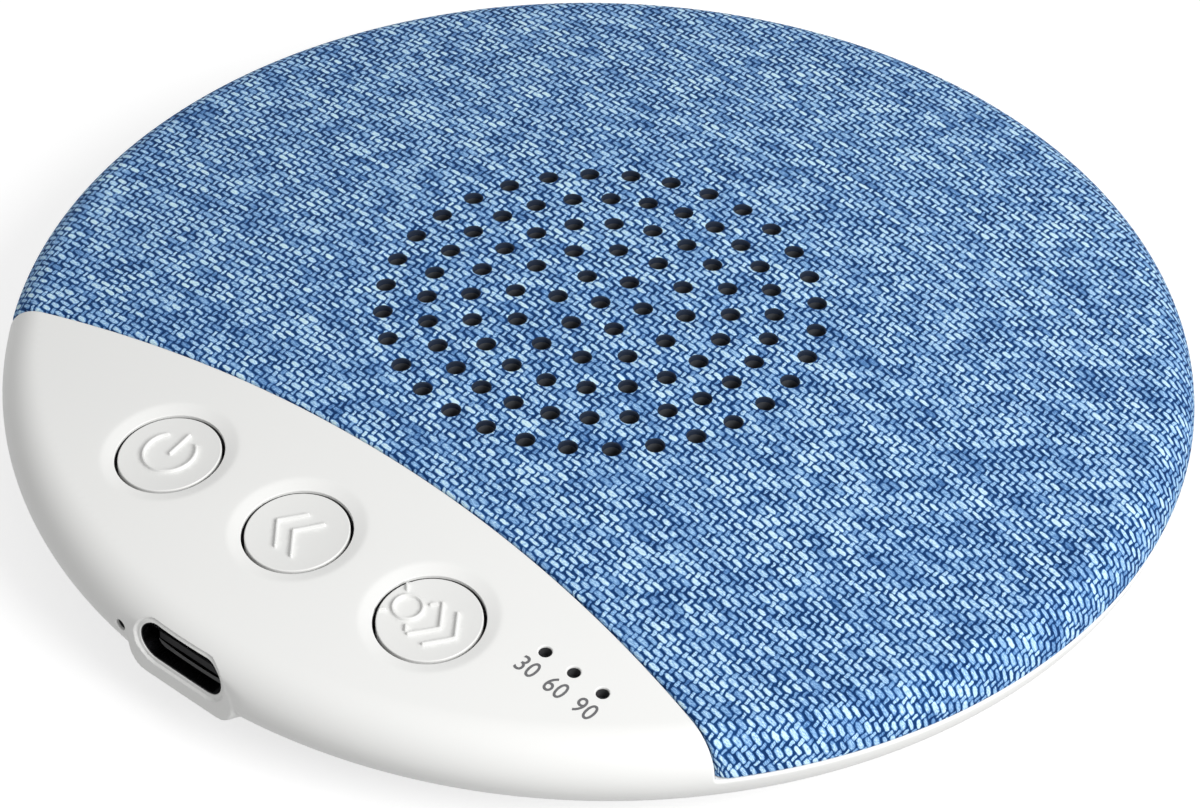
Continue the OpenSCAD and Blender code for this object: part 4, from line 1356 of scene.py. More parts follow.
@dataclass
class Underside:
    """Base cover with its screws and feet, and the posts inside the housing."""

    cover_r: float = 33.0
    under_z: float = 0.8
    cover_t: float = 1.6
    opening_r: float = 27.5
    foot_ring: float = 24.0
    foot_r: float = 4.5
    pocket: float = 0.6
    screw_ring: float = 30.0
    head_r: float = 1.9
    head_t: float = 0.7
    head_sink: float = 0.8
    shank_r: float = 0.98
    screw_tip: float = 5.287
    boss_r: float = 2.38
    boss_top: float = 5.687
    board_z: float = 5.987
    cutter_low: float = -1.0
    cross_l: float = 2.3
    cross_w: float = 0.42
    cross_t: float = 0.72
    tip: float = 0.3
    post_low: float = 3.3
    post_r: float = 2.0
    posts: tuple[tuple[float, float, float], ...] = ((31.0, -23.7, 3.3), (16.0, -41.5, 4.1))

    def cover(self) -> bpy.types.Object:
        """Round cover with a shadow groove, foot pockets, screw holes and its locating ring.

        Returns:
            The cover.
        """
        piece = rod("bottom_cover", 180, self.cover_r, self.under_z, self.under_z + self.cover_t)
        select_faces(lambda c, n: n.z < -0.9)
        for depth, inset in ((0, 1.6), (0.3, 0.02), (0, 0.5), (-0.3, 0.02), (0, 15.2),
                             (0.25, 0.25)):
            sink(depth, inset)
        select_faces(lambda c, n: n.z > 0.9)
        rim = self.cover_r - self.opening_r + 0.3
        for depth, inset in ((0, rim), (1.5, 0.02), (0, 1.2), (-1.5, 0.02)):
            sink(depth, inset)
        bpy.ops.object.mode_set(mode="OBJECT")
        cutters = []
        for ring, angle, radius, top in (
                (self.foot_ring, 0, self.foot_r + 0.05, self.under_z + self.pocket),
                (self.screw_ring, 45, self.head_r + 0.15, self.under_z + self.head_sink),
                (self.screw_ring, 45, self.shank_r + 0.15, 6.0)):
            for x, y in circle((0, 0), ring, 4, math.radians(angle)):
                cutters.append(rod("cutter", 64, radius, self.cutter_low, top, x, y))
                bpy.ops.object.mode_set(mode="OBJECT")
        cut(piece, cutters)
        return soften(piece, 0.14, 2)

    def foot(self) -> bpy.types.Object:
        """Rubber foot with a shallow ringed face.

        Returns:
            The first of the four feet.
        """
        piece = rod("foot_1", 72, self.foot_r, 0, self.under_z + self.pocket, self.foot_ring)
        select_faces(lambda c, n: n.z < -0.9)
        for width in (1.0, 0.9, 0.9):
            for depth, inset in ((0, width), (0.16, 0.12), (0, 0.25), (-0.16, 0.12)):
                sink(depth, inset)
        return soften(piece, 0.16, 3, 40)

    def screw(self) -> bpy.types.Object:
        """Pan head screw with a cross recess.

        Returns:
            The first of the four screws.
        """
        low = self.under_z + self.head_sink - self.head_t
        piece = rod("cover_screw_1", 48, self.head_r, low, low + self.head_t)
        select_faces(lambda c, n: n.z > 0.9)
        sink(0, self.head_r - self.shank_r)
        sink(self.screw_tip - low - self.head_t - self.tip, 0)
        sink(self.tip, 0.35)
        bpy.ops.object.mode_set(mode="OBJECT")
        arms = []
        for x, y in ((self.cross_l, self.cross_w), (self.cross_w, self.cross_l)):
            arms.append(block("arm", (x, y, self.cross_t), (0, 0, low)))
            select_faces(lambda c, n: n.z > 0.9)
            bpy.ops.transform.resize(value=(0.7, 0.7, 1))
            bpy.ops.object.mode_set(mode="OBJECT")
        cut(piece, arms)
        soften(piece, 0.1)
        piece.data.transform(Matrix.Translation((self.screw_ring * MM, 0, 0)))
        piece.data.transform(Matrix.Rotation(math.radians(45), 4, "Z"))
        return piece

    def post(self, name: str, x: float, y: float, low: float, radius: float, top: float,
             bore: float) -> bpy.types.Object:
        """One post with a screw bore and a widened foot.

        Args:
            name: The piece's name.
            x: Its place across.
            y: Its place along.
            low: Height of its foot.
            radius: Its radius.
            top: Height of its upper face.
            bore: Radius of the hole in it.

        Returns:
            The post.
        """
        piece = rod(name, 40, radius, low, top, x, y)
        select_faces(lambda c, n: n.z > 0.9)
        sink(0, radius - bore)
        sink(-1.4, 0.01)
        return soften(piece, 0.15, 2)

    def build(self) -> dict[str, list[bpy.types.Object]]:
        """Makes all pieces, grouped by the CAD node that they stand for.

        Returns:
            The pieces by the name of their node.
        """
        quarters = [(k + 1, Matrix.Rotation(math.radians(90 * k), 4, "Z")) for k in (1, 2, 3)]
        foot, screw = self.foot(), self.screw()
        feet = [foot] + [copy_to(foot, f"foot_{k}", move) for k, move in quarters]
        screws = [screw] + [copy_to(screw, f"cover_screw_{k}", move) for k, move in quarters]
        bore = self.shank_r + 0.05
        parts = [self.post("post", x, y, self.post_low, self.boss_r, self.boss_top, bore)
                 for x, y in circle((0, 0), self.screw_ring, 4, math.radians(45))]
        for side in (-1, 1):
            for (x, y, low), bore in zip(self.posts, (0.85, 0.5)):
                parts.append(self.post("post", side * x, y, low, self.post_r, self.board_z, bore))
        posts = join(parts)
        posts.name = posts.data.name = "housing_posts"
        return {"base_cover": [self.cover()], "rubber_feet": feet, "base_screws": screws,
                "main_housing": [posts]}


@dataclass
class ChargePort:
    """Shell of the charging socket and the contacts on its tongue."""

    width: float = 8.94
    height: float = 3.26
    front: float = -50.15
    back: float = -42.85
    skin: float = 0.3
    tongue_tip: float = -49.25
    tongue_t: float = 0.7
    contact_w: float = 0.26
    contact_pitch: float = 0.5
    contact_l: float = 3.2
    contact_t: float = 0.08
    contact_in: float = 2.2
    contacts: int = 12

    def shell(self) -> bpy.types.Object:
        """Folded metal shell with a rounded lip.

        Returns:
            The shell.
        """
        r = self.height / 2 * MM
        piece = begin(bpy.ops.mesh.primitive_cylinder_add, "port_shell", vertices=64, radius=r,
                      depth=(self.back - self.front) * MM,
                      location=(0, (self.front + self.back) / 2 * MM, DECK.port_z * MM),
                      rotation=(math.pi / 2, math.pi / 64, 0))
        for side in (-1, 1):
            select_points(lambda co, side=side: co.x * side > 0)
            bpy.ops.transform.translate(value=(side * (self.width - self.height) / 2 * MM, 0, 0))
        select_faces(lambda c, n: n.y < -0.9)
        bpy.ops.mesh.inset(thickness=self.skin * MM)
        bpy.ops.transform.translate(value=(0, (self.back - self.front - self.skin) * MM, 0))
        return soften(piece, 0.09)

    def contact(self, index: int, side: int) -> bpy.types.Object:
        """One spring contact on the upper or lower face of the tongue.

        Args:
            index: Its number from the left.
            side: 1 for the upper face, -1 for the lower one.

        Returns:
            The contact.
        """
        x = (index - (self.contacts - 1) / 2) * self.contact_pitch
        z = DECK.port_z + side * self.tongue_t / 2
        piece = block("contact", (self.contact_w, self.contact_l, self.contact_t),
                      (x, self.tongue_tip + self.contact_in, z))
        select_faces(lambda c, n: n.y < -0.9)
        bpy.ops.transform.resize(value=(0.7, 1, 0.6))
        return soften(piece, 0.02, 2)

    def build(self) -> tuple[bpy.types.Object, bpy.types.Object]:
        """Makes the shell and the row of contacts.

        Returns:
            The shell, and the contacts as one piece.
        """
        first = self.contact(0, 1)
        places = [(k * self.contact_pitch * MM, 0, side * self.tongue_t * MM)
                  for side in (0, -1) for k in range(self.contacts)]
        contacts = join([first] + [copy_to(first, "contact", Matrix.Translation(place))
                                   for place in places[1:]])
        contacts.name = contacts.data.name = "port_contacts"
        return self.shell(), contacts


@dataclass
class TimerMarks:
    """Printed minutes beside the three timer lights."""

    size: float = 2.3
    narrow: float = 0.86
    spread: float = 1.08
    ink: float = 0.03
    bolder: float = 0.008
    marks: tuple[tuple[str, float, float], ...] = (
        ("30", 24.08, -35.28), ("60", 27.15, -35.31), ("90", 30.25, -35.30))

    def mark(self, text: str, x: float, y: float) -> bpy.types.Object:
        """One number, laid on the deck.

        Args:
            text: The number.
            x: Its middle across.
            y: Its middle along.

        Returns:
            The number as a mesh.
        """
        bpy.ops.object.select_all(action="DESELECT")
        bpy.ops.object.text_add(location=(0, 0, 0))
        piece = bpy.context.object
        piece.name = f"minutes_{text}"
        piece.data.body = text
        piece.data.align_x, piece.data.align_y = "CENTER", "CENTER"
        piece.data.size = self.size * MM
        piece.data.space_character = self.spread
        piece.data.extrude = self.ink * MM
        piece.data.offset = self.bolder * MM
        bpy.ops.object.convert(target="MESH")
        place, normal = BODY.lift(BODY.plan_of_top(np.array([[x, y]])))
        tilt = Vector(UP).rotation_difference(Vector(normal[0])).to_matrix().to_4x4()
        narrow = Matrix.Diagonal((self.narrow, 1, 1, 1))
        piece.data.transform(Matrix.Translation(Vector(place[0] * MM)) @ tilt @ narrow)
        piece.data.name = piece.name
        return piece

    def build(self) -> list[bpy.types.Object]:
        """Makes the three numbers."""
        return [self.mark(*mark) for mark in self.marks]


# ------------------------------------------------------------------ finishes

class NodeTree:
    """Adds and links the nodes of one material or of the world."""

    def __init__(self, owner: bpy.types.Material | bpy.types.World) -> None:
        """Opens the owner's nodes and finds its shader.

        Args:
            owner: The material or the world.
        """
        owner.use_nodes = True
        self.owner = owner
        self.tree = owner.node_tree
        self.shader = self.tree.nodes.get("Principled BSDF") or self.tree.nodes["Background"]

    def add(self, kind: str, inputs: dict | None = None, **settings: object) -> bpy.types.Node:
        """Adds a node.

        Args:
            kind: The node's type without its prefix.
            inputs: Values or sockets for its inputs, by name or number.
            settings: Its own properties.

        Returns:
            The node.
        """
        node = self.tree.nodes.new("ShaderNode" + kind)
        for key, value in settings.items():
            setattr(node, key, value)
        for key, value in (inputs or {}).items():
            self.feed(node.inputs[key], value)
        return node

    def feed(self, socket: bpy.types.NodeSocket, value: object) -> None:
        """Links a socket to another, or sets its value.

        Args:
            socket: The input.
            value: A socket to link to it, or its value.
        """
        if isinstance(value, bpy.types.NodeSocket):
            self.tree.links.new(value, socket)
        else:
            socket.default_value = value

    def math(self, operation: str, a: object, b: object = 0.0) -> bpy.types.NodeSocket:
        """Result of a sum on sockets or numbers."""
        return self.add("Math", {0: a, 1: b}, operation=operation).outputs[0]

    def plus(self, a: object, b: object) -> bpy.types.NodeSocket:
        """Sum of two values."""
        return self.math("ADD", a, b)

    def less(self, a: object, b: object) -> bpy.types.NodeSocket:
        """First value less the second."""
        return self.math("SUBTRACT", a, b)

    def times(self, a: object, b: object) -> bpy.types.NodeSocket:
        """Product of two values."""
        return self.math("MULTIPLY", a, b)

    def over(self, a: object, b: object) -> bpy.types.NodeSocket:
        """First value divided by the second."""
        return self.math("DIVIDE", a, b)

    def noise(self, where: bpy.types.NodeSocket, per_m: float, detail: float = 3.0,
              rough: float = 0.5) -> bpy.types.NodeSocket:
        """Cloudy pattern with a number of clouds to the metre.

        Args:
            where: Place at which the pattern is taken.
            per_m: Clouds to the metre.
            detail: Layers of finer clouds.
            rough: Strength of the finer layers.

        Returns:
            The pattern, from 0 to 1.
        """
        return self.add("TexNoise", {"Vector": where, "Scale": per_m, "Detail": detail,
                                     "Roughness": rough}).outputs["Fac"]

    def spread(self, value: object, low: float, high: float, to_low: float = 0.0,
               to_high: float = 1.0, smooth: bool = False) -> bpy.types.NodeSocket:
        """Maps a range of a value onto another range, held at its ends.

        Args:
            value: The value.
            low: Start of its range.
            high: End of its range.
            to_low: What the start becomes.
            to_high: What the end becomes.
            smooth: Whether the ends are eased.

        Returns:
            The mapped value.
        """
        node = self.add("MapRange", {"Value": value, "From Min": low, "From Max": high,
                                     "To Min": to_low, "To Max": to_high})
        node.interpolation_type = "SMOOTHSTEP" if smooth else "LINEAR"
        return node.outputs[0]

    def blend(self, share: object, a: object, b: object) -> bpy.types.NodeSocket:
        """Colour between two colours.

        Args:
            share: 0 gives the first colour, 1 the second.
            a: First colour.
            b: Second colour.

        Returns:
            The colour.
        """
        node = self.add("Mix", data_type="RGBA")
        for socket, value in ((node.inputs[0], share), (node.inputs[6], a), (node.inputs[7], b)):
            self.feed(socket, (*value, 1) if isinstance(value, tuple) else value)
        return node.outputs[2]

    def ramp(self, value: bpy.types.NodeSocket,
             stops: Sequence[tuple[float, tuple[float, float, float]]]) -> bpy.types.NodeSocket:
        """Colour from a row of stops.

        Args:
            value: Where in the row, from 0 to 1.
            stops: Places of the stops with their colours.

        Returns:
            The colour.
        """
        node = self.add("ValToRGB", {0: value})
        steps = node.color_ramp.elements
        while len(steps) < len(stops):
            steps.new(0.5)
        for step, (at, colour) in zip(steps, stops):
            step.position, step.color = at, (*colour, 1)
        return node.outputs[0]

    def bump(self, height: bpy.types.NodeSocket, depth_mm: float, strength: float = 1.0,
             under: bpy.types.NodeSocket | None = None) -> bpy.types.NodeSocket:
        """Surface direction from a height pattern.

        Args:
            height: The pattern.
            depth_mm: Height of a full step of it.
            strength: How strongly it shows.
            under: Normal that it is added to.

        Returns:
            The normal.
        """
        node = self.add("Bump", {"Height": height, "Distance": depth_mm * MM, "Strength": strength})
        if under is not None:
            self.feed(node.inputs["Normal"], under)
        return node.outputs[0]


class Pattern(Enum):
    """Surface patterns that a finish can carry."""

    GRAIN = "grain"
    BRUSHED = "brushed"
    CREASED = "creased"
    PORES = "pores"
    FIBRE = "fibre"
    WOUND = "wound"
    MESH = "mesh"
    TRACKS = "tracks"


@dataclass(frozen=True)
class Finish:
    """One finish: two close colours, a pattern at its own pitch, and how it shines."""

    slot: str
    name: str
    colour: tuple[float, float, float]
    second: tuple[float, float, float]
    rough: tuple[float, float] = (0.4, 0.5)
    pattern: Pattern = Pattern.GRAIN
    pitch: float = 0.3
    relief: float = 0.006
    cloud: float = 9.0
    metal: float = 0.0
    coat: float = 0.0
    clear: float = 0.0
    soft: float = 0.0
    level: float = 0.5

    def height(self, tree: NodeTree, where: bpy.types.NodeSocket) -> bpy.types.NodeSocket:
        """Height pattern of the finish, from 0 to 1.

        Args:
            tree: The material's nodes.
            where: Place at which the pattern is taken.

        Returns:
            The height.
        """
        per_m = 1000 / self.pitch
        if self.pattern is Pattern.BRUSHED:
            stretched = tree.add("Mapping", {"Vector": where, "Scale": (1, 0.04, 1)}).outputs[0]
            return tree.noise(stretched, per_m, 2)
        if self.pattern is Pattern.FIBRE:
            stretched = tree.add("Mapping", {"Vector": where, "Rotation": (0, 0, 0.6),
                                             "Scale": (1, 0.15, 1)})
            return tree.noise(stretched.outputs[0], per_m, 5, 0.7)
        if self.pattern is Pattern.CREASED:
            clouds = tree.add("TexNoise", {"Vector": where, "Scale": per_m * 0.6}).outputs["Color"]
            bent = tree.add("VectorMath", {0: where, 1: clouds, 2: where}, operation="MULTIPLY_ADD")
            cells = tree.add("TexVoronoi", {"Vector": bent.outputs[0], "Scale": per_m},
                             feature="DISTANCE_TO_EDGE")
            return tree.spread(cells.outputs["Distance"], 0, 0.25, smooth=True)
        if self.pattern is Pattern.PORES:
            cells = tree.add("TexVoronoi", {"Vector": where, "Scale": per_m}, feature="F1")
            return tree.spread(cells.outputs["Distance"], 0.1, 0.6, smooth=True)
        if self.pattern in (Pattern.WOUND, Pattern.MESH):
            parts = tree.add("SeparateXYZ", {0: where})
            axes = (2,) if self.pattern is Pattern.WOUND else (0, 1)
            waves = [tree.math("SINE", tree.times(parts.outputs[k], per_m * 2 * math.pi))
                     for k in axes]
            wave = waves[0] if len(waves) == 1 else tree.math("MAXIMUM", *waves)
            return tree.spread(wave, -1, 1)
        if self.pattern is Pattern.TRACKS:
            cells = tree.add("TexVoronoi", {"Vector": where, "Scale": per_m}, feature="F1",
                             distance="CHEBYCHEV")
            return tree.spread(cells.outputs["Distance"], 0.28, 0.3)
        return tree.noise(where, per_m, 3)

    def make(self) -> bpy.types.Material:
        """Builds the material.

        Returns:
            The material.
        """
        tree = NodeTree(bpy.data.materials.new(self.name))
        where = tree.add("TexCoord").outputs["Object"]
        height = self.height(tree, where)
        clouds = tree.noise(where, 1000 / self.cloud, 4, 0.55)
        mixed = tree.plus(tree.times(clouds, 0.6), tree.times(height, 0.4))
        share = tree.spread(mixed, 0.3, 0.7)
        tree.feed(tree.shader.inputs["Base Color"], tree.blend(share, self.colour, self.second))
        tree.feed(tree.shader.inputs["Roughness"], tree.spread(share, 0, 1, *self.rough))
        tree.feed(tree.shader.inputs["Normal"], tree.bump(height, self.relief))
        plain = {"Metallic": self.metal, "Coat Weight": self.coat, "Coat Roughness": 0.12,
                 "Transmission Weight": self.clear, "Sheen Weight": self.soft,
                 "Specular IOR Level": self.level}
        for key, value in plain.items():
            tree.shader.inputs[key].default_value = value
        return tree.owner


@dataclass(frozen=True)
class Weave:
    """Two-tone cloth: pale floats in staggered rows, short pale bars between, on a dark ground."""

    slot: str = "cloth"
    name: str = "two-tone woven cloth"
    repeat: float = 1.657
    row: float = 0.64
    shift: float = 0.459
    float_l: float = 1.1
    float_w: float = 0.455
    slope: float = 0.11
    bar_w: float = 0.33
    bar_h: float = 0.8
    lean: float = 0.14
    dark: tuple[float, float, float] = (0.004, 0.03, 0.115)
    low: tuple[float, float, float] = (0.009, 0.053, 0.185)
    middle: tuple[float, float, float] = (0.09, 0.23, 0.508)
    high: tuple[float, float, float] = (0.355, 0.6, 0.905)
    light: tuple[float, float, float] = (0.69, 0.92, 1.0)

    def spot(self, tree: NodeTree, u: object, v: object, half_u: object, half_v: object,
             soft: float) -> bpy.types.NodeSocket:
        """Soft-edged lozenge, 1 inside, from distances along and across it.

        Args:
            tree: The material's nodes.
            u: Distance along.
            v: Distance across.
            half_u: Half the length.
            half_v: Half the width.
            soft: Width of the soft edge.

        Returns:
            The lozenge.
        """
        a = tree.math("POWER", tree.over(u, half_u), 4.0)
        b = tree.math("POWER", tree.over(v, half_v), 2.0)
        return tree.spread(tree.plus(a, b), 1 + soft, 1 - soft, smooth=True)

    def cell(self, tree: NodeTree, along: object,
             row: object) -> tuple[bpy.types.NodeSocket, bpy.types.NodeSocket]:
        """Distance along a row from its nearest float's middle, and that float's three chances.

        Args:
            tree: The material's nodes.
            along: Place along the row, in repeats.
            row: The row's number.

        Returns:
            The distance and the chances.
        """
        number = tree.math("FLOOR", along)
        off = tree.times(tree.less(tree.less(along, number), 0.5), self.repeat)
        spot_id = tree.add("CombineXYZ", {0: row, 1: number}).outputs[0]
        chances = tree.add("TexWhiteNoise", {"Vector": spot_id}, noise_dimensions="3D")
        return off, chances.outputs["Color"]

    def shaken(self, tree: NodeTree, at: bpy.types.NodeSocket, base: bpy.types.NodeSocket,
               scale: float, detail: float,
               reach: tuple[float, float, float]) -> bpy.types.NodeSocket:
        """Places moved about by a cloudy pattern.

        Args:
            tree: The material's nodes.
            at: Place at which the pattern is taken, in millimetres.
            base: The places that are moved.
            scale: Clouds to the millimetre.
            detail: Layers of finer clouds.
            reach: How far they are moved, along each axis.

        Returns:
            The moved places.
        """
        clouds = tree.add("TexNoise", {"Vector": at, "Scale": scale, "Detail": detail})
        centred = tree.add("VectorMath", {0: clouds.outputs["Color"], 1: (-0.5, -0.5, -0.5)},
                           operation="ADD")
        return tree.add("VectorMath", {0: centred.outputs[0], 1: reach, 2: base},
                        operation="MULTIPLY_ADD").outputs[0]

    def make(self) -> bpy.types.Material:
        """Builds the material on the piece's flat plan.

        Returns:
            The material.
        """
        tree = NodeTree(bpy.data.materials.new(self.name))
        plan = tree.add("UVMap", uv_map="weave").outputs[0]
        flat = tree.add("VectorMath", {0: plan, 1: (1000, 1000, 1000)},
                        operation="MULTIPLY").outputs[0]
        drawn = self.shaken(tree, flat, flat, 0.55, 3.0, (0.34, 0.26, 0.0))
        moved = self.shaken(tree, flat, drawn, 2.6, 2.0, (0.26, 0.16, 0.0))
        split = tree.add("SeparateXYZ", {0: moved})
        u, v = split.outputs[0], split.outputs[1]
        rows = tree.over(v, self.row)
        row = tree.math("FLOOR", rows)
        level = tree.times(tree.less(tree.less(rows, row), 0.5), self.row)
        along = tree.over(tree.less(u, tree.times(row, self.shift)), self.repeat)
        off, chance = self.cell(tree, along, row)
        parts = tree.add("SeparateXYZ", {0: chance})
        length = tree.spread(parts.outputs[1], 0, 1, self.float_l * 0.42, self.float_l * 0.57)
        width = tree.spread(parts.outputs[2], 0, 1, self.float_w * 0.4, self.float_w * 0.6)
        across = tree.plus(level, tree.times(off, self.slope))
        weft = self.spot(tree, off, across, length, width, 0.75)
        leaning = tree.plus(along, tree.times(level, self.lean / self.repeat))
        off_bar, chance_bar = self.cell(tree, tree.plus(leaning, 0.5), row)
        luck = tree.add("SeparateXYZ", {0: chance_bar})
        bar_w = tree.spread(luck.outputs[1], 0, 1, self.bar_w * 0.4, self.bar_w * 0.58)
        bar_h = tree.spread(luck.outputs[2], 0, 1, self.bar_h * 0.4, self.bar_h * 0.56)
        bar = self.spot(tree, off_bar, level, bar_w, bar_h, 0.8)
        bar = tree.times(bar, tree.spread(luck.outputs[0], 0, 1, 0.52, 0.88))
        threads = tree.add("Mapping", {"Vector": flat, "Scale": (3.2, 13.0, 1)}).outputs[0]
        fibre = tree.noise(threads, 1.0, 4, 0.65)
        cloud = tree.noise(flat, 0.33, 5, 0.62)
        slub_at = tree.add("CombineXYZ", {0: tree.times(u, 0.16), 1: tree.times(row, 5.3)})
        slub = tree.noise(slub_at.outputs[0], 1.0, 2, 0.5)
        bright = tree.plus(tree.spread(parts.outputs[0], 0, 1, 0.62, 0.9),
                           tree.spread(slub, 0.32, 0.72, -0.12, 0.24))
        value = tree.math("MAXIMUM", tree.times(weft, bright), bar)
        value = tree.times(value, tree.spread(fibre, 0.3, 0.7, 0.66, 1.22))
        value = tree.plus(value, tree.spread(fibre, 0.35, 0.75, -0.02, 0.17))
        value = tree.plus(value, tree.spread(cloud, 0.3, 0.7, -0.13, 0.13))
        colour = tree.ramp(value, ((0.0, self.dark), (0.16, self.low), (0.5, self.middle),
                                   (0.78, self.high), (1.0, self.light)))
        tree.feed(tree.shader.inputs["Base Color"], colour)
        height = tree.plus(value, tree.times(fibre, 0.35))
        tree.feed(tree.shader.inputs["Normal"], tree.bump(height, 0.07, 0.8))
        tree.feed(tree.shader.inputs["Roughness"], tree.spread(fibre, 0, 1, 0.72, 0.9))
        tree.shader.inputs["Sheen Weight"].default_value = 0.02
        tree.shader.inputs["Sheen Roughness"].default_value = 0.4
        tree.shader.inputs["Specular IOR Level"].default_value = 0.1
        return tree.owner


FINISHES = (
    Finish("shell_plastic", "satin white moulding", (0.80, 0.80, 0.785), (0.785, 0.787, 0.775),
           (0.36, 0.44), Pattern.GRAIN, 0.11, 0.0016, 22),
    Finish("button_plastic", "satin white cap", (0.745, 0.745, 0.73), (0.73, 0.732, 0.72),
           (0.33, 0.42), Pattern.GRAIN, 0.11, 0.0014, 6),
    Finish("carrier_plastic", "matt charcoal moulding", (0.045, 0.05, 0.06), (0.06, 0.064, 0.072),
           (0.5, 0.65), Pattern.GRAIN, 0.25, 0.006),
    Finish("mesh_cloth", "black acoustic mesh", (0.008, 0.009, 0.011), (0.022, 0.023, 0.026),
           (0.75, 0.9), Pattern.MESH, 0.34, 0.05, soft=0.2),
    Finish("black_plastic", "black nylon moulding", (0.006, 0.006, 0.007), (0.012, 0.012, 0.013),
           (0.55, 0.7), Pattern.GRAIN, 0.2, 0.004, level=0.2),
    Finish("tinned_steel", "tinned steel", (0.62, 0.62, 0.6), (0.52, 0.52, 0.51), (0.25, 0.38),
           Pattern.BRUSHED, 0.12, 0.002, 4, metal=1),
    Finish("zinc_steel", "zinc plated steel", (0.58, 0.6, 0.62), (0.45, 0.47, 0.5), (0.25, 0.42),
           Pattern.GRAIN, 0.5, 0.003, 3, metal=1),
    Finish("board_laminate", "green solder mask", (0.012, 0.12, 0.05), (0.02, 0.17, 0.07),
           (0.22, 0.34), Pattern.TRACKS, 1.4, 0.02, coat=0.5),
    Finish("chip_resin", "black chip resin", (0.018, 0.018, 0.019), (0.03, 0.03, 0.031),
           (0.5, 0.62), Pattern.GRAIN, 0.12, 0.006),
    Finish("part_ceramic", "fired ceramic and ferrite", (0.2, 0.13, 0.085), (0.27, 0.2, 0.14),
           (0.4, 0.6), Pattern.PORES, 0.2, 0.01),
    Finish("lamp_resin", "yellow lamp resin", (0.75, 0.62, 0.2), (0.82, 0.72, 0.34), (0.2, 0.3),
           Pattern.GRAIN, 0.4, 0.004, clear=0.25),
    Finish("clear_plastic", "smoky light guide", (0.05, 0.053, 0.058), (0.075, 0.08, 0.085),
           (0.18, 0.3), Pattern.GRAIN, 0.5, 0.002, clear=0.35),
    Finish("pouch_foil", "creased pouch foil", (0.66, 0.67, 0.69), (0.55, 0.56, 0.58),
           (0.22, 0.36), Pattern.CREASED, 3.5, 0.06, metal=1),
    Finish("amber_film", "amber polyimide film", (0.5, 0.2, 0.03), (0.6, 0.28, 0.05), (0.2, 0.32),
           Pattern.CREASED, 2.0, 0.02, coat=0.4),
    Finish("foam", "open cell foam", (0.05, 0.052, 0.056), (0.1, 0.102, 0.108), (0.85, 0.95),
           Pattern.PORES, 0.35, 0.12, soft=0.2),
    Finish("ivory_plastic", "ivory connector nylon", (0.72, 0.68, 0.56), (0.66, 0.62, 0.5),
           (0.4, 0.52), Pattern.GRAIN, 0.2, 0.004),
    Finish("lead_insulation", "lead insulation", (0.35, 0.02, 0.02), (0.42, 0.03, 0.028),
           (0.35, 0.48), Pattern.GRAIN, 0.4, 0.004),
    Finish("magnet_plating", "nickel plated magnet", (0.62, 0.6, 0.56), (0.52, 0.5, 0.47),
           (0.16, 0.28), Pattern.GRAIN, 0.6, 0.002, 5, metal=1),
    Finish("copper_wire", "wound copper wire", (0.72, 0.3, 0.13), (0.55, 0.2, 0.08), (0.2, 0.34),
           Pattern.WOUND, 0.16, 0.04, metal=1),
    Finish("cone_film", "black pressed cone", (0.018, 0.018, 0.02), (0.035, 0.035, 0.038),
           (0.45, 0.6), Pattern.FIBRE, 0.5, 0.02),
    Finish("roll_rubber", "black surround rubber", (0.014, 0.014, 0.015), (0.024, 0.024, 0.025),
           (0.5, 0.62), Pattern.GRAIN, 0.3, 0.006, soft=0.1),
    Finish("terminal_fibre", "terminal fibre board", (0.3, 0.16, 0.07), (0.38, 0.22, 0.1),
           (0.6, 0.75), Pattern.FIBRE, 0.4, 0.02),
    Finish("foot_rubber", "grey foot rubber", (0.045, 0.047, 0.05), (0.06, 0.062, 0.066),
           (0.7, 0.82), Pattern.GRAIN, 0.18, 0.01, soft=0.15),
)
# The socket's steel shell, kept metallic but its colour darkened to near black as painted shade for
# the shadow inside the slot
SHELL_PAINTED_SHADE = Finish("tinned_steel", "steel shell with painted shade", (0.05, 0.05, 0.055),
                      (0.035, 0.035, 0.04), (0.22, 0.32), Pattern.BRUSHED, 0.15, 0.002, 3, metal=1)
CONTACT_GOLD = Finish("tinned_steel", "contact plating", (0.55, 0.42, 0.2), (0.45, 0.34, 0.16),
                      (0.25, 0.35), Pattern.BRUSHED, 0.1, 0.001, 2, metal=1)
CUT_EDGE = Finish("cloth", "laser-cut cloth edge", (0.010, 0.016, 0.032), (0.02, 0.032, 0.06),
                  (0.8, 0.9), Pattern.FIBRE, 0.25, 0.02, 2, level=0.2)
# Near-black finish on the white housing's opening walls below their white band: painted shade for
# the shadow inside the wells, light holes, charging slot and pinhole
OPENING_PAINTED_SHADE = Finish("clear_plastic", "painted shade in openings", (0.04, 0.04, 0.042),
               (0.055, 0.055, 0.058), (0.3, 0.4), Pattern.GRAIN, 0.2, 0.002, 2)
INK = Finish("button_plastic", "grey printing ink", (0.105, 0.105, 0.11), (0.13, 0.13, 0.135),
             (0.4, 0.5), Pattern.GRAIN, 0.08, 0.001, 1)


# ------------------------------------------------------------------ studio

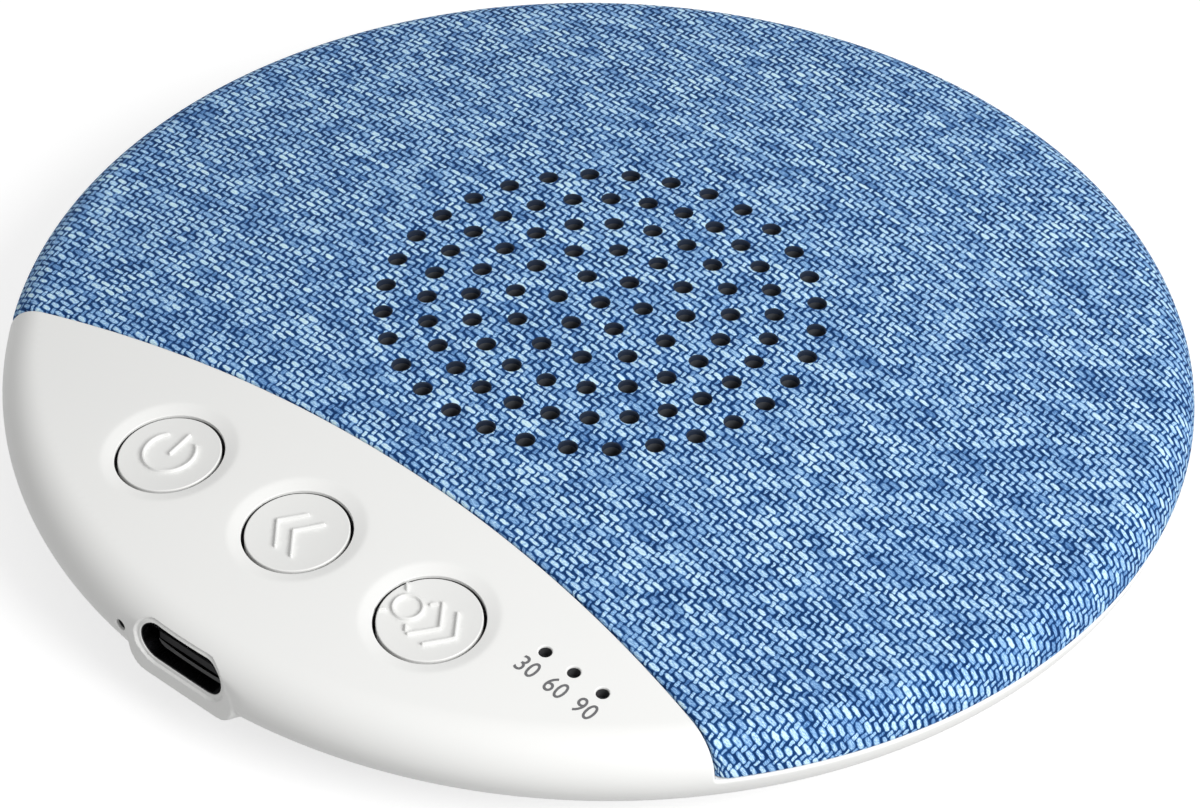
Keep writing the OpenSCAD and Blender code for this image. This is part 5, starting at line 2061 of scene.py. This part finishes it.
@dataclass(frozen=True)
class Studio:
    """Camera, floor and light."""

    place: tuple[float, float, float] = (0.23087, -0.26261, 0.29976)
    turn: tuple[tuple[float, float, float], ...] = (
        (0.74190429, -0.44188584, 0.50429646), (0.67030161, 0.4702312, -0.57408916),
        (0.01654594, 0.76394995, 0.64506334))
    lens: float = 158.98
    sky: float = 0.49
    key_power: float = 8.7
    key_place: tuple[float, float, float] = (0.755, -0.045, 0.574)
    key_size: float = 0.5
    lift: float = 0.7
    floor_shade: float = 0.38
    floor_size: float = 6.0
    floor_z: float = -0.00002
    aim_z: float = 0.008
    sensor: float = 36.0

    def camera(self) -> None:
        """Sets up the camera."""
        cam = bpy.data.objects.new("camera", bpy.data.cameras.new("camera"))
        bpy.context.scene.collection.objects.link(cam)
        cam.data.lens = self.lens
        cam.data.sensor_width = self.sensor
        turned = Matrix(self.turn).to_quaternion()
        cam.matrix_world = Matrix.LocRotScale(Vector(self.place), turned, None)
        bpy.context.scene.camera = cam

    def floor(self) -> None:
        """Lays a pale floor that shows white where it is lit and keeps the shadow."""
        bpy.ops.mesh.primitive_plane_add(size=self.floor_size, location=(0, 0, self.floor_z))
        floor = bpy.context.object
        floor.name = "floor"
        tree = NodeTree(bpy.data.materials.new("white floor"))
        lift = tree.add("Emission", {"Color": (1, 1, 1, 1)})
        seen = self.seen(tree)
        tree.feed(lift.inputs["Strength"], tree.times(seen, self.lift))
        tree.shader.inputs["Base Color"].default_value = (self.floor_shade,) * 3 + (1,)
        tree.shader.inputs["Roughness"].default_value = 0.9
        both = tree.add("AddShader", {0: tree.shader.outputs[0], 1: lift.outputs[0]})
        behind = tree.add("NewGeometry").outputs["Backfacing"]
        clear = tree.add("BsdfTransparent").outputs[0]
        under = tree.add("MixShader", {0: behind, 1: both.outputs[0], 2: clear})
        tree.tree.links.new(under.outputs[0], tree.tree.nodes["Material Output"].inputs[0])
        floor.data.materials.append(tree.owner)

    @staticmethod
    def seen(tree: NodeTree) -> bpy.types.NodeSocket:
        """1 for rays from the camera, off gloss and through clear plastic.

        Args:
            tree: The nodes of the material or the world.

        Returns:
            The share.
        """
        path = tree.add("LightPath")
        sight = tree.math("MAXIMUM", path.outputs["Is Camera Ray"], path.outputs["Is Glossy Ray"])
        return tree.math("MAXIMUM", sight, path.outputs["Is Transmission Ray"])

    def world(self) -> None:
        """Soft light from all round, white where it is seen."""
        world = bpy.data.worlds.new("studio")
        bpy.context.scene.world = world
        tree = NodeTree(world)
        tree.shader.inputs[0].default_value = (1, 1, 1, 1)
        tree.feed(tree.shader.inputs[1], tree.spread(self.seen(tree), 0, 1, self.sky, 1.0))

    def key(self) -> None:
        """Large soft lamp from the right and behind."""
        data = bpy.data.lights.new("key", "AREA")
        data.shape, data.size, data.energy = "DISK", self.key_size, self.key_power
        lamp = bpy.data.objects.new("key", data)
        bpy.context.scene.collection.objects.link(lamp)
        place = Vector(self.key_place)
        aim = place - Vector((0, 0, self.aim_z))
        lamp.matrix_world = Matrix.LocRotScale(place, aim.to_track_quat("Z", "Y"), None)

    def build(self) -> None:
        """Sets up all of it."""
        self.camera()
        self.floor()
        self.world()
        self.key()
        bpy.context.scene.view_settings.view_transform = "Standard"


class Dresser:
    """Gives each piece its finish, its body and the nodes it stands for."""

    def __init__(self) -> None:
        """Makes the materials of all slots and dresses the CAD nodes."""
        self.materials = {finish.slot: finish.make() for finish in FINISHES}
        self.materials["cloth"] = Weave().make()
        self.slots = {row["node"]: row["material_slot"] for row in frame["record"]["subparts"]}
        for name, slot in self.slots.items():
            node = frame["nodes"][name]
            node.data.materials.clear()
            node.data.materials.append(self.materials[slot])

    def dress(self, piece: bpy.types.Object, slot: str, body: str, nodes: Sequence[str] = (),
              material: bpy.types.Material | None = None,
              inner: bpy.types.Material | None = None) -> None:
        """Finishes one piece.

        Args:
            piece: The piece.
            slot: Its material slot.
            body: The body that it moves with.
            nodes: The CAD nodes that it stands for.
            material: A finish of its own, in place of the slot's.
            inner: The finish of its openings' walls: painted shade on the housing's, a cut edge on
                the cloth's.
        """
        layer = np.zeros(len(piece.data.polygons), np.int32)
        piece.data.polygons.foreach_get("material_index", layer)
        piece.data.materials.clear()
        piece.data.materials.append(material or self.materials[slot])
        if inner:
            piece.data.materials.append(inner)
            piece.data.polygons.foreach_set("material_index", layer)
        if nodes:
            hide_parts(*nodes)
        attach(piece, body)
        log.info("%s: %d faces, on %s", piece.name, len(piece.data.polygons), body)


def main() -> None:
    """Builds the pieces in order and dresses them."""
    logging.basicConfig(level=logging.INFO, format="%(message)s")
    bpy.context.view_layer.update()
    bpy.ops.object.select_all(action="DESELECT")
    Studio().build()
    dresser = Dresser()
    # The housing's opening walls get painted shade below their white band
    dresser.dress(Housing().build(), "shell_plastic", "root", ["main_housing"], inner=OPENING_PAINTED_SHADE.make())
    cloth = Cloth()
    cover = cloth.build()
    dresser.dress(cover, "cloth", "root", ["fabric_skin"], inner=CUT_EDGE.make())
    width, length, area = cloth.flat()
    for symbol, centre in zip((Symbol.POWER, Symbol.PREVIOUS, Symbol.NEXT), DECK.buttons):
        name = f"{symbol.value}_button"
        dresser.dress(ButtonCap(symbol, centre).build(), "button_plastic", name, [name])
    for node, pieces in Underside().build().items():
        for piece in pieces:
            dresser.dress(piece, dresser.slots[node], "root", [node])
    shell, contacts = ChargePort().build()
    # The shell gets the near-black painted shade in place of its tinned steel colour
    dresser.dress(shell, "tinned_steel", "root", ["usb_shell"], SHELL_PAINTED_SHADE.make())
    dresser.dress(contacts, "tinned_steel", "root", (), CONTACT_GOLD.make())
    ink = INK.make()
    for mark in TimerMarks().build():
        dresser.dress(mark, "button_plastic", "root", (), ink)


if __name__ == "__main__":
    main()
